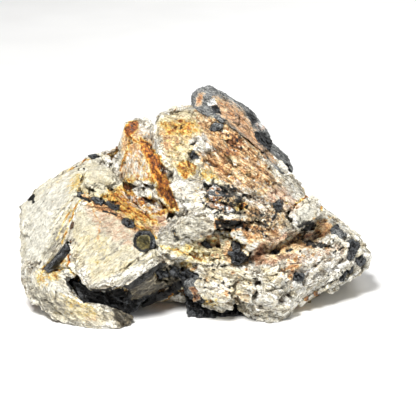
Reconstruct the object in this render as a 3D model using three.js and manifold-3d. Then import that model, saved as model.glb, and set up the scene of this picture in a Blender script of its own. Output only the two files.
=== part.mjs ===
// Schorl on albite: a hand-sized mineral specimen. One intergrown mass of albite carries crystals and lumps
// of schorl (black tourmaline), each a solid of its own that is seated in a socket of the albite.
//
// The rock is drawn face-on: u runs right and v down on a drawing grid, and depth runs towards the viewer in
// millimetres. The drawing leans back by LEAN, and the rock rests on the plane z = 0.
import * as THREE from "three";
import { ConvexGeometry } from "three/addons/geometries/ConvexGeometry.js";
import { mergeVertices } from "three/addons/utils/BufferGeometryUtils.js";
import Module from "manifold-3d";

const WIDTH = 120; // the specimen's overall width, mm
const GRID = WIDTH / 347; // one step of the drawing grid, mm
const GRID_CENTRE = [208, 205]; // the drawing's optical centre, in grid steps
const GRID_MIDDLE_U = 194.5; // the grid column that lies over the origin
const LEAN = THREE.MathUtils.degToRad(17); // how far the viewpoint is above the horizon
const VIEW_DISTANCE = 620; // from the viewpoint to depth 0, mm
const FOOT = { v: 326, depth: 21 }; // the lowest point of the rock: it stands at z = 0
const MIDDLE = { x: 0.4, y: 5.9 }; // where the middle of the rock's base lies on the floor under the drawing, mm
const SOCKET_GAP = 0.4; // how far a socket's corners are moved out from the crystal's, mm
const LONGEST_EDGE = 18; // albite facets are split down to this, mm
const WARP = { size: 11, across: 0.9, deep: 1.6 }; // unevenness of the albite: wavelength and reach, mm

const wasm = await Module();
wasm.setup();

// ---------------------------------------------------------------- the drawing grid

const sinLean = Math.sin(LEAN);
const cosLean = Math.cos(LEAN);
const footUp = (GRID_CENTRE[1] - FOOT.v) * GRID * (1 - FOOT.depth / VIEW_DISTANCE);
const floorDrop = -(footUp * cosLean + FOOT.depth * sinLean);

// The point seen at grid position (u, v), at a depth towards the viewer, in the rock's own frame.
function at(u, v, depth) {
  const shrink = 1 - depth / VIEW_DISTANCE;
  const right = (u - GRID_CENTRE[0]) * GRID * shrink;
  const up = (GRID_CENTRE[1] - v) * GRID * shrink;
  return new THREE.Vector3(
    right + (GRID_CENTRE[0] - GRID_MIDDLE_U) * GRID,
    up * sinLean - depth * cosLean,
    up * cosLean + depth * sinLean + floorDrop,
  );
}

// ---------------------------------------------------------------- solids

// A closed three.js geometry as a manifold-3d solid.
function solidOf(geometry) {
  const bare = new THREE.BufferGeometry().setAttribute("position", geometry.getAttribute("position"));
  if (geometry.index) bare.setIndex(geometry.index);
  const merged = mergeVertices(bare, 1e-4);
  return new wasm.Manifold(
    new wasm.Mesh({
      numProp: 3,
      vertProperties: new Float32Array(merged.attributes.position.array),
      triVerts: new Uint32Array(merged.index.array),
    }),
  );
}

// A manifold-3d solid as a three.js geometry.
function geometryOf(solid) {
  const mesh = solid.getMesh();
  const places = new Float32Array(mesh.numVert * 3);
  for (let i = 0; i < mesh.numVert; i++) {
    places.set(mesh.vertProperties.subarray(i * mesh.numProp, i * mesh.numProp + 3), i * 3);
  }
  const geometry = new THREE.BufferGeometry();
  geometry.setAttribute("position", new THREE.BufferAttribute(places, 3));
  geometry.setIndex(new THREE.BufferAttribute(new Uint32Array(mesh.triVerts), 1));
  return geometry;
}

function joined(solids) {
  return solids.reduce((whole, next) => whole.add(next));
}

function largestBody(solid) {
  return solid.decompose().reduce((best, next) => (next.volume() > best.volume() ? next : best));
}

// A broken block with flat faces: the convex hull of its front corners, each at [u, v, depth], and of the same
// outline drawn in to taper at depth back. A block of the far side has back in front of its corners.
function block({ corners, back, taper = 0.8 }, grow = 0) {
  const middle = [0, 1].map((axis) => corners.reduce((sum, corner) => sum + corner[axis], 0) / corners.length);
  const near = corners.map(([u, v, depth]) => at(u, v, depth));
  const far = corners.map(([u, v]) =>
    at(middle[0] + (u - middle[0]) * taper, middle[1] + (v - middle[1]) * taper, back),
  );
  const points = [...near, ...far];
  return solidOf(new ConvexGeometry(grow ? points.flatMap((point) => around(point, grow)) : points));
}

// Six points at a distance from a point. The hull of such points is the hull of the points themselves, grown.
function around(point, distance) {
  return [0, 1, 2].flatMap((axis) => [-distance, distance].map((step) => {
    const moved = point.clone();
    return moved.setComponent(axis, moved.getComponent(axis) + step);
  }));
}

// ---------------------------------------------------------------- albite

// The masses that carry the rock, behind its front relief.
const MASSES = {
  leftMass: {
    corners: [[22, 209, -2], [34, 191, -6], [60, 174, -8], [93, 157, -9], [116, 152, -10],
      [140, 170, -6], [24, 246, 3], [29, 268, 8], [45, 215, 9], [75, 185, 9], [100, 178, 7],
      [66, 240, 17], [90, 205, 16], [175, 230, 4], [180, 285, 4], [120, 298, 6], [70, 300, 8],
      [36, 290, 4]],
    back: -34, taper: 0.74,
  },
  upperMass: {
    corners: [[153, 128, 1], [161, 115, -3], [184, 109, -7], [204, 112, -9], [250, 134, -9],
      [290, 175, -9], [303, 188, -9], [309, 203, -8], [296, 235, 4], [250, 238, 6], [190, 235, 6],
      [165, 180, 5], [200, 150, 8], [240, 180, 9]],
    back: -38, taper: 0.8,
  },
  rightMass: {
    corners: [[235, 220, 4], [300, 197, -8], [320, 207, -9], [341, 223, -9], [356, 236, -7],
      [366, 249, -4], [369, 257, -3], [362, 268, -3], [345, 280, -1], [315, 295, 4], [285, 303, 6],
      [245, 300, 6], [300, 250, 4], [335, 250, 1]],
    back: -28, taper: 0.7,
  },
  centreMass: {
    corners: [[150, 236, 6], [205, 215, 4], [262, 220, 4], [276, 280, 8], [252, 300, 5], [192, 302, 3],
      [160, 294, 4]],
    back: -38, taper: 0.92,
  },
};

// The front relief: slabs, ledges and lumps, roughly from left to right.
const RELIEF = {
  upperBank: {
    corners: [[30, 204, 4], [44, 190, 1], [66, 176, -1], [92, 162, -3], [108, 160, -2], [118, 172, 3],
      [108, 186, 9], [84, 197, 16], [64, 212, 17], [46, 224, 13], [32, 222, 8]],
    back: -14, taper: 0.9,
  },
  bankFacet: {
    corners: [[36, 226, 10], [50, 205, 12], [72, 192, 14], [84, 197, 17], [72, 222, 20], [58, 244, 20],
      [44, 248, 15]],
    back: -4, taper: 0.9,
  },
  leftCorner: {
    corners: [[23, 222, 2], [32, 216, 6], [36, 228, 11], [30, 236, 8], [24, 232, 3]],
    back: -8,
  },
  leftFlank: {
    corners: [[23, 238, 3], [38, 232, 12], [56, 240, 19], [58, 254, 20], [44, 266, 18], [29, 268, 9],
      [24, 254, 4]],
    back: -10, taper: 0.85,
  },
  prismBench: {
    corners: [[34, 262, 14], [50, 250, 18], [68, 244, 21], [80, 258, 23], [80, 272, 21], [60, 278, 20],
      [38, 270, 16]],
    back: -4,
  },
  valleyBank: {
    corners: [[80, 190, 14], [88, 174, 8], [100, 163, 1], [112, 162, -2], [124, 182, 3], [128, 192, 7],
      [108, 203, 16], [92, 197, 17]],
    back: -10, taper: 0.9,
  },
  creamSlab: {
    corners: [[69, 214, 20], [77, 198, 19], [96, 199, 19], [118, 209, 20], [137, 223, 20],
      [150, 240, 21], [154, 251, 22], [148, 254, 25], [130, 267, 27], [108, 282, 28], [92, 288, 27],
      [76, 266, 27], [68, 242, 23], [84, 222, 24], [112, 240, 26], [136, 238, 24]],
    back: 8, taper: 0.88,
  },
  slabFoot: {
    corners: [[92, 284, 26], [112, 274, 26.4], [134, 260, 25.4], [152, 249, 23], [163, 257, 22],
      [166, 265, 21], [155, 276, 23], [137, 287, 25], [118, 295, 26], [107, 297, 26]],
    back: 11, taper: 0.86,
  },
  lobeUpper: {
    corners: [[29, 268, 11], [48, 268, 20], [66, 280, 22], [84, 296, 22], [86, 310, 23], [62, 318, 20],
      [44, 309, 16], [34, 294, 12], [29, 280, 9], [58, 292, 26]],
    back: -8, taper: 0.8,
  },
  lobeLower: {
    corners: [[66, 300, 22], [86, 297, 22], [104, 304, 22], [122, 312, 20], [131, 319, 19],
      [123, 331, 22], [106, 332, 24], [84, 329, 23], [62, 321, 20], [92, 313, 26], [110, 316, 25]],
    back: -12, taper: 0.75,
  },
  wedge: {
    corners: [[127, 126, -2], [136, 120, -6], [148, 121, -7], [154, 132, -2], [118, 166, -1],
      [121, 144, -4], [122, 182, 5], [136, 186, 10], [150, 189, 12], [138, 146, 8], [150, 158, 11],
      [163, 180, 10], [166, 192, 5], [160, 156, 2]],
    back: -20, taper: 0.6,
  },
  valleyLeft: {
    corners: [[92, 194, 15], [110, 186, 9], [124, 184, 4], [146, 198, 5], [162, 213, 7], [160, 226, 12],
      [152, 241, 19], [136, 226, 19], [112, 209, 18]],
    back: -10, taper: 0.9,
  },
  valleyRight: {
    corners: [[134, 188, 9], [150, 188, 12], [164, 196, 9], [175, 213, 7], [166, 226, 12],
      [154, 238, 17], [146, 214, 9]],
    back: -10, taper: 0.9,
  },
  wedgeStrip: {
    corners: [[150, 158, 10], [158, 158, 3], [168, 186, 4], [176, 212, 6], [168, 208, 9],
      [160, 188, 12]],
    back: -6,
  },
  paleFace: {
    corners: [[153, 130, 5], [160, 118, 0], [176, 111, -4], [196, 109, -6], [206, 126, 4],
      [203, 150, 13], [186, 168, 18], [177, 190, 17], [170, 196, 14], [161, 168, 14], [158, 148, 12],
      [180, 140, 12]],
    back: -12, taper: 0.85,
  },
  amberBlock: {
    corners: [[175, 168, 18], [183, 160, 17], [192, 158, 15], [198, 171, 17], [191, 182, 19],
      [179, 181, 20]],
    back: 4,
  },
  whiteBlock: {
    corners: [[165, 192, 17], [172, 184, 18], [190, 179, 19], [203, 183, 19], [210, 199, 22],
      [200, 211, 24], [187, 215, 24], [174, 208, 22], [180, 190, 23], [196, 190, 23]],
    back: 2,
  },
  tanFace: {
    corners: [[192, 114, -4], [208, 115, -3], [226, 124, -3], [244, 138, -3], [266, 161, -3],
      [262, 192, 14], [236, 188, 18], [206, 168, 17], [194, 142, 10]],
    back: -20, taper: 0.85,
  },
  rosyFace: {
    corners: [[242, 142, -4], [264, 156, -6], [289, 177, -8], [302, 188, -8], [309, 202, -6],
      [308, 210, -2], [298, 221, 7], [274, 217, 14], [246, 200, 18], [234, 182, 18]],
    back: -20, taper: 0.85,
  },
  roughBand: {
    corners: [[200, 186, 18], [222, 176, 18], [250, 186, 18], [286, 207, 12], [290, 224, 12],
      [266, 236, 19], [242, 226, 22], [214, 216, 23], [201, 208, 22], [232, 200, 23]],
    back: -2,
  },
  lipLeft: {
    corners: [[182, 216, 22], [204, 207, 23], [226, 210, 24], [241, 217, 23], [232, 223, 24],
      [208, 225, 25], [192, 224, 24]],
    back: 9,
  },
  lipRight: {
    corners: [[236, 222, 22], [262, 222, 21], [288, 215, 12], [300, 214, 8], [297, 226, 8],
      [270, 243, 18], [250, 249, 20], [240, 240, 20]],
    back: 0,
  },
  palePlate: {
    corners: [[150, 240, 20], [165, 226, 18], [180, 213, 16], [193, 221, 20], [199, 231, 23],
      [190, 241, 24], [174, 252, 24], [163, 247, 23]],
    back: 5,
  },
  greyLump: {
    corners: [[173, 226, 23], [182, 216, 22], [196, 217, 23], [210, 222, 23], [212, 229, 24],
      [203, 237, 25], [192, 240, 26], [181, 235, 26], [188, 224, 27]],
    back: 8,
  },
  yellowLedge: {
    corners: [[178, 246, 19], [190, 238, 18], [204, 243, 17], [211, 254, 20], [204, 259, 22],
      [190, 258, 23], [181, 254, 22]],
    back: 4,
  },
  amberLedge: {
    corners: [[196, 240, 14], [206, 231, 12], [226, 230, 12], [246, 236, 12], [249, 250, 16],
      [240, 262, 20], [222, 264, 21], [207, 258, 20], [220, 244, 18]],
    back: -2,
  },
  hollowWall: {
    corners: [[158, 250, 15], [178, 246, 14], [194, 258, 15], [190, 274, 18], [172, 272, 19],
      [160, 264, 18]],
    back: -2,
  },
  underBand: {
    corners: [[118, 296, 14], [128, 286, 17], [150, 276, 18], [168, 268, 18], [186, 274, 17],
      [188, 284, 13], [172, 292, 9], [150, 299, 7], [132, 305, 8]],
    back: -10,
  },
  lowerCentre: {
    corners: [[176, 264, 17], [196, 260, 16], [232, 264, 16], [256, 262, 15], [262, 280, 18],
      [250, 296, 15], [228, 301, 16], [202, 299, 16], [183, 284, 16], [215, 275, 22]],
    back: -8,
  },
  brightBlock: {
    corners: [[199, 276, 21], [214, 272, 21], [229, 276, 21], [231, 289, 23], [222, 296, 23],
      [208, 293, 24], [199, 286, 23]],
    back: 6,
  },
  shard: {
    corners: [[202, 297, 18], [214, 292, 20], [234, 293, 18], [236, 300, 15], [222, 309, 12],
      [213, 308, 12]],
    back: 0,
  },
  footFace: {
    corners: [[243, 291, 16], [262, 281, 19], [282, 283, 18], [294, 296, 14], [288, 315, 14],
      [276, 323, 16], [258, 323, 16], [245, 310, 14], [266, 300, 23]],
    back: -26, taper: 0.9,
  },
  whitePlate: {
    corners: [[291, 223, 15], [298, 206, 12], [311, 199, 9], [317, 203, 8], [317, 214, 10],
      [309, 221, 13], [296, 230, 16]],
    back: 4, taper: 0.85,
  },
  farRightEdge: {
    corners: [[302, 197, -8], [319, 206, -8], [341, 223, -8], [343, 236, -1], [322, 234, 4],
      [312, 216, 3]],
    back: -20,
  },
  rustShelf: {
    corners: [[246, 264, 16], [262, 250, 11], [290, 236, 5], [314, 228, 0], [332, 232, -2],
      [332, 248, 5], [300, 256, 13], [270, 268, 18], [252, 273, 19]],
    back: -10, taper: 0.9,
  },
  roundKnob: {
    corners: [[262, 264, 19], [268, 261, 19], [276, 262, 19], [282, 268, 18], [284, 276, 18],
      [280, 284, 18], [272, 287, 18], [264, 284, 18], [259, 274, 18], [270, 271, 23], [274, 278, 23]],
    back: 6,
  },
  pinkPlate: {
    corners: [[270, 262, 18], [290, 256, 14], [310, 250, 10], [338, 238, 2], [353, 248, 1],
      [354, 262, 2], [336, 273, 6], [308, 281, 13], [284, 277, 18], [300, 264, 17]],
    back: -14,
  },
  lowerRightPlate: {
    corners: [[260, 284, 17], [286, 276, 17], [312, 280, 12], [340, 271, 5], [350, 275, 1],
      [318, 293, 6], [300, 301, 10], [278, 303, 13]],
    back: -16,
  },
  tip: {
    corners: [[334, 235, 2], [352, 234, -5], [364, 247, -4], [369, 257, -3], [362, 268, -3],
      [348, 277, -1], [338, 266, 5], [352, 252, 3]],
    back: -18,
  },
};

// The far side, each block reaching back towards the middle of the rock.
const FAR_SIDE = {
  farLeftFace: {
    corners: [[28, 250, -12], [31, 214, -12], [58, 186, -16], [92, 168, -20], [112, 172, -24],
      [104, 214, -37], [84, 226, -38], [44, 262, -26], [96, 262, -38], [62, 292, -24], [36, 282, -14]],
    back: 0, taper: 0.92,
  },
  farWedge: {
    corners: [[102, 176, -20], [122, 150, -17], [138, 146, -18], [152, 192, -35], [134, 232, -46],
      [108, 230, -42], [110, 200, -35]],
    back: 0, taper: 0.9,
  },
  farPeak: {
    corners: [[150, 134, -16], [176, 116, -18], [206, 113, -22], [216, 150, -35], [198, 186, -44],
      [168, 182, -40], [156, 158, -29], [186, 152, -39]],
    back: -4, taper: 0.9,
  },
  farCrestRoot: {
    corners: [[200, 122, -24], [232, 124, -26], [262, 146, -26], [280, 174, -26], [270, 196, -35],
      [238, 198, -42], [208, 178, -40], [236, 164, -38]],
    back: -6, taper: 0.85,
  },
  farShelf: {
    corners: [[146, 198, -40], [176, 187, -42], [220, 188, -45], [264, 202, -40], [256, 226, -47],
      [214, 238, -52], [168, 230, -50], [146, 216, -45], [204, 206, -50]],
    back: -18, taper: 0.85,
  },
  farRightSlope: {
    corners: [[252, 166, -22], [276, 178, -22], [302, 202, -19], [322, 222, -18], [316, 248, -31],
      [284, 246, -42], [258, 224, -42], [246, 192, -35], [288, 214, -36]],
    back: -4, taper: 0.88,
  },
  farTip: {
    corners: [[300, 226, -25], [338, 230, -13], [355, 250, -11], [344, 274, -14], [310, 286, -24],
      [286, 274, -34], [298, 248, -37], [326, 252, -27]],
    back: 0, taper: 0.85,
  },
  farBase: {
    corners: [[120, 236, -43], [160, 242, -50], [206, 248, -52], [246, 252, -45], [264, 280, -35],
      [232, 300, -29], [176, 306, -29], [122, 300, -30], [106, 268, -38], [180, 268, -49]],
    back: -2, taper: 0.9,
  },
  farLowLeft: {
    corners: [[48, 262, -26], [84, 248, -37], [112, 258, -41], [110, 292, -32], [76, 310, -22],
      [48, 300, -17], [80, 280, -35]],
    back: 0, taper: 0.88,
  },
  farLowRight: {
    corners: [[240, 246, -42], [268, 236, -42], [296, 254, -37], [292, 282, -27], [262, 296, -26],
      [240, 278, -37]],
    back: -6, taper: 0.88,
  },
  farRidgeBlock: {
    corners: [[88, 204, -34], [104, 188, -32], [120, 200, -38], [114, 220, -46], [96, 222, -42]],
    back: -20, taper: 0.95,
  },
  farCheek: {
    corners: [[54, 216, -26], [74, 198, -26], [90, 212, -35], [78, 234, -38], [58, 236, -31]],
    back: -10, taper: 0.95,
  },
  farTooth: {
    corners: [[226, 232, -48], [250, 228, -45], [262, 244, -44], [246, 262, -46], [228, 254, -52]],
    back: -30, taper: 0.95,
  },
};

// ---------------------------------------------------------------- unevenness

function hash(x, y, z, channel) {
  const s = Math.sin(x * 127.1 + y * 311.7 + z * 74.7 + channel * 53.3) * 43758.5453;
  return s - Math.floor(s);
}

// Smooth noise from -1 to 1, with features about one unit apart.
function noise(p, channel) {
  const [x0, y0, z0] = [Math.floor(p.x), Math.floor(p.y), Math.floor(p.z)];
  const ease = (t) => t * t * (3 - 2 * t);
  const [fx, fy, fz] = [ease(p.x - x0), ease(p.y - y0), ease(p.z - z0)];
  let sum = 0;
  for (const i of [0, 1]) {
    for (const j of [0, 1]) {
      for (const k of [0, 1]) {
        const share = (i ? fx : 1 - fx) * (j ? fy : 1 - fy) * (k ? fz : 1 - fz);
        sum += share * hash(x0 + i, y0 + j, z0 + k, channel);
      }
    }
  }
  return 2 * sum - 1;
}

// Splits every edge over the limit at its middle, until none is left.
function refined(geometry, limit) {
  const places = [];
  const source = geometry.getAttribute("position");
  for (let i = 0; i < source.count; i++) places.push(new THREE.Vector3().fromBufferAttribute(source, i));
  let faces = [];
  const index = geometry.index.array;
  for (let i = 0; i < index.length; i += 3) faces.push([index[i], index[i + 1], index[i + 2]]);
  for (let again = true; again; ) {
    again = false;
    const middles = new Map();
    const middle = (a, b) => {
      if (places[a].distanceTo(places[b]) <= limit) return -1;
      const key = a < b ? a + "_" + b : b + "_" + a;
      if (!middles.has(key)) {
        middles.set(key, places.length);
        places.push(places[a].clone().add(places[b]).multiplyScalar(0.5));
      }
      return middles.get(key);
    };
    const next = [];
    for (const [a, b, c] of faces) {
      const sides = [[a, b, c], [b, c, a], [c, a, b]];
      const lengths = sides.map(([p, q]) => places[p].distanceTo(places[q]));
      const [p, q, r] = sides[lengths.indexOf(Math.max(...lengths))];
      const [pq, qr, rp] = [middle(p, q), middle(q, r), middle(r, p)];
      if (pq < 0) next.push([a, b, c]);
      else if (qr < 0 && rp < 0) next.push([p, pq, r], [pq, q, r]);
      else if (rp < 0) next.push([p, pq, r], [pq, q, qr], [pq, qr, r]);
      else if (qr < 0) next.push([pq, q, r], [p, pq, rp], [pq, r, rp]);
      else next.push([p, pq, rp], [pq, q, qr], [qr, r, rp], [pq, qr, rp]);
      if (pq >= 0) again = true;
    }
    faces = next;
  }
  const made = new THREE.BufferGeometry();
  made.setAttribute("position", new THREE.Float32BufferAttribute(places.flatMap((p) => p.toArray()), 3));
  made.setIndex(faces.flat());
  return made;
}

// Bends space gently, so that straight edges and flat faces become as uneven as broken rock.
function warped(geometry) {
  const places = geometry.getAttribute("position");
  for (let i = 0; i < places.count; i++) {
    const p = new THREE.Vector3().fromBufferAttribute(places, i);
    const q = p.clone().divideScalar(WARP.size);
    places.setXYZ(
      i,
      p.x + WARP.across * noise(q, 1),
      p.y + WARP.deep * noise(q, 2),
      p.z + WARP.across * noise(q, 3),
    );
  }
  return geometry;
}

function floorBox() {
  const size = 3 * WIDTH;
  return solidOf(new THREE.BoxGeometry(size, size, size).translate(0, 0, -size / 2));
}

function roughAlbite() {
  const blocks = [MASSES, RELIEF, FAR_SIDE].flatMap(Object.values).map((shape) => block(shape));
  return solidOf(warped(refined(geometryOf(joined(blocks)), LONGEST_EDGE))).subtract(floorBox());
}

// How far towards side (1 near, -1 far) a mesh's surface is at grid position (u, v).
function reachOf(mesh, u, v, side) {
  const start = at(u, v, side * WIDTH);
  const sight = at(u, v, -side * WIDTH).sub(start);
  const [hit] = new THREE.Raycaster(start, sight.clone().normalize()).intersectObject(mesh);
  return WIDTH - (2 * WIDTH * hit.distance) / sight.length();
}

// ---------------------------------------------------------------- schorl

// Each crystal or cluster is one or more shapes grown together. A shape is a block, or a chip that is seated in
// the surface: its outline, how far its crown stands proud, and how deep its root goes, mm.
const SCHORL = {
  schorl_crest: [
    {
      corners: [[193, 109, -6], [192, 96, -8], [197, 91, -9], [206, 88, -11], [213, 88, -12],
        [228, 96, -12], [240, 104, -12], [238, 122, -2], [222, 120, -1], [206, 117, -2]],
      back: -26, taper: 0.9,
    },
    {
      corners: [[222, 95, -12], [240, 103, -12], [252, 112, -13], [266, 130, -14], [274, 148, -13],
        [262, 150, -3], [244, 136, -1], [228, 122, -1]],
      back: -28, taper: 0.9,
    },
    {
      corners: [[262, 138, -12], [272, 143, -13], [286, 156, -14], [291, 168, -14], [290, 180, -11],
        [278, 172, -5], [262, 156, -4]],
      back: -28, taper: 0.9,
    },
  ],
  schorl_foot: [
    {
      corners: [[186, 292, 6], [187, 304, 8], [189, 317, 13], [198, 321, 14], [214, 321, 14],
        [218, 300, 11], [206, 288, 10]],
      back: -18, taper: 0.9,
    },
    {
      corners: [[206, 290, 9], [206, 318, 11], [218, 320, 13], [230, 316, 11], [250, 316, 11],
        [254, 298, 8], [238, 288, 9]],
      back: -20, taper: 0.9,
    },
    {
      corners: [[179, 274, 19], [188, 271, 19], [197, 276, 21], [201, 288, 22], [207, 296, 20],
        [203, 302, 17], [192, 300, 16], [184, 290, 17], [190, 284, 22]],
      back: 2,
    },
  ],
  schorl_hollow_mass: [
    {
      corners: [[74, 282, 18], [90, 286, 18], [104, 294, 17], [108, 312, 17], [98, 309, 18],
        [82, 298, 20]],
      back: 2, taper: 0.9,
    },
    {
      corners: [[98, 292, 17], [126, 292, 15], [152, 286, 13], [150, 296, 12], [132, 310, 13],
        [124, 316, 13], [108, 313, 16]],
      back: 0, taper: 0.9,
    },
    { outline: [[62, 279], [67, 275], [76, 277], [80, 283], [74, 290], [66, 288]], proud: 2.4, root: 5 },
    { outline: [[73, 268], [80, 271], [90, 281], [86, 286], [78, 282]], proud: 1.6, root: 6 },
  ],
  schorl_eye: [
    { outline: [[133, 236], [138, 231], [150, 231], [155, 238], [155, 248], [149, 253], [140, 250], [133, 245]], proud: 0.7,
      root: 9, crown: 0.92 },
  ],
  schorl_ridge_lens: [
    { outline: [[121, 222], [126, 219], [134, 220], [134, 226], [130, 229], [125, 227]], proud: 1.5, root: 4 },
  ],
  schorl_ridge_sliver_1: [
    { outline: [[78, 194], [84, 195], [90, 199], [87, 202], [80, 200]], proud: 1.1, root: 4 },
  ],
  schorl_ridge_sliver_2: [
    { outline: [[92, 199], [99, 199], [105, 202], [103, 205], [95, 203]], proud: 1.1, root: 4 },
  ],
  schorl_ridge_sliver_3: [
    { outline: [[107, 203], [112, 203], [119, 208], [116, 211], [110, 208]], proud: 1.1, root: 4 },
  ],
  schorl_top_lens: [
    { outline: [[90, 157], [95, 155.5], [104, 159], [102, 163], [95, 162]], proud: 1.2, root: 4 },
  ],
  schorl_tooth: [
    { outline: [[189, 155], [193, 152], [198, 155], [196, 163], [194, 163]], proud: 1.2, root: 4 },
  ],
  schorl_brown_cluster: [
    {
      outline: [[206, 190], [213, 183], [222, 188], [232, 195], [226, 204], [214, 206], [207, 200]],
      proud: 1.3, root: 5,
    },
    {
      outline: [[204, 204], [212, 203], [228, 204], [238, 210], [232, 214], [216, 213]],
      proud: 1.2, root: 4,
    },
  ],
  schorl_crest_tooth: [
    { outline: [[207, 130], [213, 124], [224, 124], [222, 129], [214, 133], [209, 134]], proud: 1.4, root: 5 },
  ],
  schorl_ledge_lump: [
    {
      outline: [[228, 252], [238, 248], [245, 254], [246, 261], [238, 266], [230, 262]],
      proud: 1.8, root: 5,
    },
    { outline: [[230, 244], [235, 241], [241, 244], [241, 252], [232, 252]], proud: 1.4, root: 4 },
  ],
  schorl_ledge_chip: [
    { outline: [[201, 243], [205, 241], [213, 248], [210, 252], [203, 249]], proud: 1.3, root: 4 },
  ],
  schorl_under_chip_1: [
    { outline: [[155, 271], [162, 267], [168, 270], [167, 277], [158, 279]], proud: 1.6, root: 5 },
  ],
  schorl_under_chip_2: [
    { outline: [[170, 270], [176, 266], [181, 269], [177, 276], [172, 276]], proud: 1.7, root: 3 },
  ],
  schorl_vein: [
    { outline: [[272, 204], [279, 200], [283, 204], [281, 211], [276, 216], [272, 212]], proud: 1.4, root: 4 },
  ],
  schorl_shelf_chip_1: [
    { outline: [[270, 254], [275, 249], [280, 252], [278, 260], [272, 262]], proud: 1.4, root: 4 },
  ],
  schorl_shelf_chip_2: [
    { outline: [[285, 252], [290, 249], [296, 252], [294, 257], [288, 256]], proud: 1.4, root: 4 },
  ],
  schorl_shelf_chip_3: [
    { outline: [[291, 275], [297, 273], [304, 275], [302, 281], [294, 280]], proud: 1.4, root: 4 },
  ],
  schorl_right_lens: [
    { outline: [[329, 229], [336, 226], [347, 236], [343, 240], [334, 236]], proud: 1.3, root: 4 },
  ],
  schorl_far_patch: [
    {
      outline: [[66, 222], [76, 212], [92, 216], [98, 230], [88, 242], [72, 238]],
      proud: 1.8, root: 6, side: -1,
    },
    { outline: [[88, 232], [98, 228], [108, 236], [106, 248], [94, 248]], proud: 1.5, root: 5, side: -1 },
  ],
  schorl_far_chip_1: [
    {
      outline: [[214, 164], [226, 158], [236, 166], [232, 178], [218, 178]],
      proud: 1.8, root: 5, side: -1,
    },
  ],
  schorl_far_chip_2: [
    {
      outline: [[306, 244], [316, 238], [324, 248], [318, 260], [308, 258]],
      proud: 1.6, root: 5, side: -1,
    },
  ],
  schorl_tip_cluster: [
    { outline: [[344, 243], [352, 240], [359, 244], [358, 251], [350, 252]], proud: 1.4, root: 5 },
    { outline: [[350, 248], [357, 248], [354, 258], [348, 262], [345, 256]], proud: 1.4, root: 5 },
    { outline: [[352, 254], [362, 254], [365, 262], [360, 266], [356, 261]], proud: 1.4, root: 5 },
    { outline: [[346, 258], [352, 262], [352, 272], [345, 275], [342, 266]], proud: 1.4, root: 5 },
    { outline: [[338, 270], [346, 270], [345, 277], [340, 281], [336, 276]], proud: 1.4, root: 5 },
  ],
};

// Ribbed prisms: the grid points of their ends, their radius and how far their axis stands off the surface, mm.
const PRISMS = {
  schorl_prism: { from: [48, 270.5], to: [69, 246], radius: 1.25, sides: 9, proud: 0.5 },
  schorl_far_prism_1: { from: [126, 264], to: [176, 210], radius: 3.2, sides: 12, proud: 0.4, side: -1 },
  schorl_far_prism_2: { from: [262, 214], to: [296, 196], radius: 2, sides: 9, proud: 0.2, side: -1 },
};
const RIB_DEPTH = 0.9; // how deep a prism's grooves are, as a share of its radius

const CROWN_DROP = 0.5; // how far a crown's corners may lie below its highest point, as a share of its height

// A chip whose root is sunk in a surface: an uneven crown stands proud of it, smaller than the root's outline.
// Each face is moved out by grow.
function seated(surface, { outline, proud, root, crown = 0.75, side = 1 }, grow) {
  const middle = [0, 1].map((axis) => outline.reduce((sum, corner) => sum + corner[axis], 0) / outline.length);
  const level = reachOf(surface, ...middle, side);
  const corners = widened(outline, grow / GRID / crown).map(([u, v], i) => [
    middle[0] + (u - middle[0]) * crown,
    middle[1] + (v - middle[1]) * crown,
    side * (level + proud * (1 - CROWN_DROP * Math.abs(Math.sin(i))) + grow),
  ]);
  return block({ corners, back: side * (level - root - grow), taper: 1 / crown });
}

// A convex outline whose sides have moved out by reach.
function widened(outline, reach) {
  const points = outline.map((corner) => new THREE.Vector2(...corner));
  const turn = Math.sign(THREE.ShapeUtils.area(points));
  const outward = points.map((point, i) => {
    const along = points[(i + 1) % points.length].clone().sub(point).normalize();
    return new THREE.Vector2(along.y, -along.x).multiplyScalar(turn);
  });
  return points.map((point, i) => {
    const [before, after] = [outward.at(i - 1), outward[i]];
    const step = before.clone().add(after).multiplyScalar(reach / (1 + before.dot(after)));
    return point.clone().add(step).toArray();
  });
}

// A ribbed prism along the line from one grid point to another, lying on a surface.
function prism(surface, { from, to, radius, sides, proud, side = 1 }, grow) {
  const ends = [from, to].map(([u, v]) => at(u, v, side * (reachOf(surface, u, v, side) + proud)));
  const length = ends[0].distanceTo(ends[1]);
  const section = new THREE.Shape(
    Array.from({ length: 2 * sides }, (_, i) => {
      const reach = radius * (i % 2 ? 1 : RIB_DEPTH) + grow;
      const angle = (Math.PI * i) / sides;
      return new THREE.Vector2(reach * Math.cos(angle), reach * Math.sin(angle));
    }),
  );
  const geometry = new THREE.ExtrudeGeometry(section, { depth: length + 2 * grow, bevelEnabled: false });
  geometry.translate(0, 0, -grow);
  const along = ends[1].clone().sub(ends[0]).normalize();
  geometry.applyQuaternion(new THREE.Quaternion().setFromUnitVectors(new THREE.Vector3(0, 0, 1), along));
  geometry.translate(...ends[0].toArray());
  return solidOf(geometry);
}

// Every schorl solid by name, each face moved out by grow.
function schorlSolids(surface, grow) {
  const shaped = (shape) => (shape.outline ? seated(surface, shape, grow) : block(shape, grow));
  const made = {};
  for (const [name, line] of Object.entries(PRISMS)) made[name] = prism(surface, line, grow);
  for (const [name, shapes] of Object.entries(SCHORL)) made[name] = joined(shapes.map(shaped));
  return made;
}

// ---------------------------------------------------------------- the specimen

const ALBITE_FINISH = new THREE.MeshStandardMaterial({ color: 0xe6dcc0, roughness: 0.75, metalness: 0 });
const SCHORL_FINISH = new THREE.MeshStandardMaterial({ color: 0x24282b, roughness: 0.35, metalness: 0 });

function piece(name, solid, finish) {
  const mesh = new THREE.Mesh(geometryOf(solid), finish);
  mesh.name = name;
  mesh.position.set(-MIDDLE.x, -MIDDLE.y, 0);
  return mesh;
}

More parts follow.
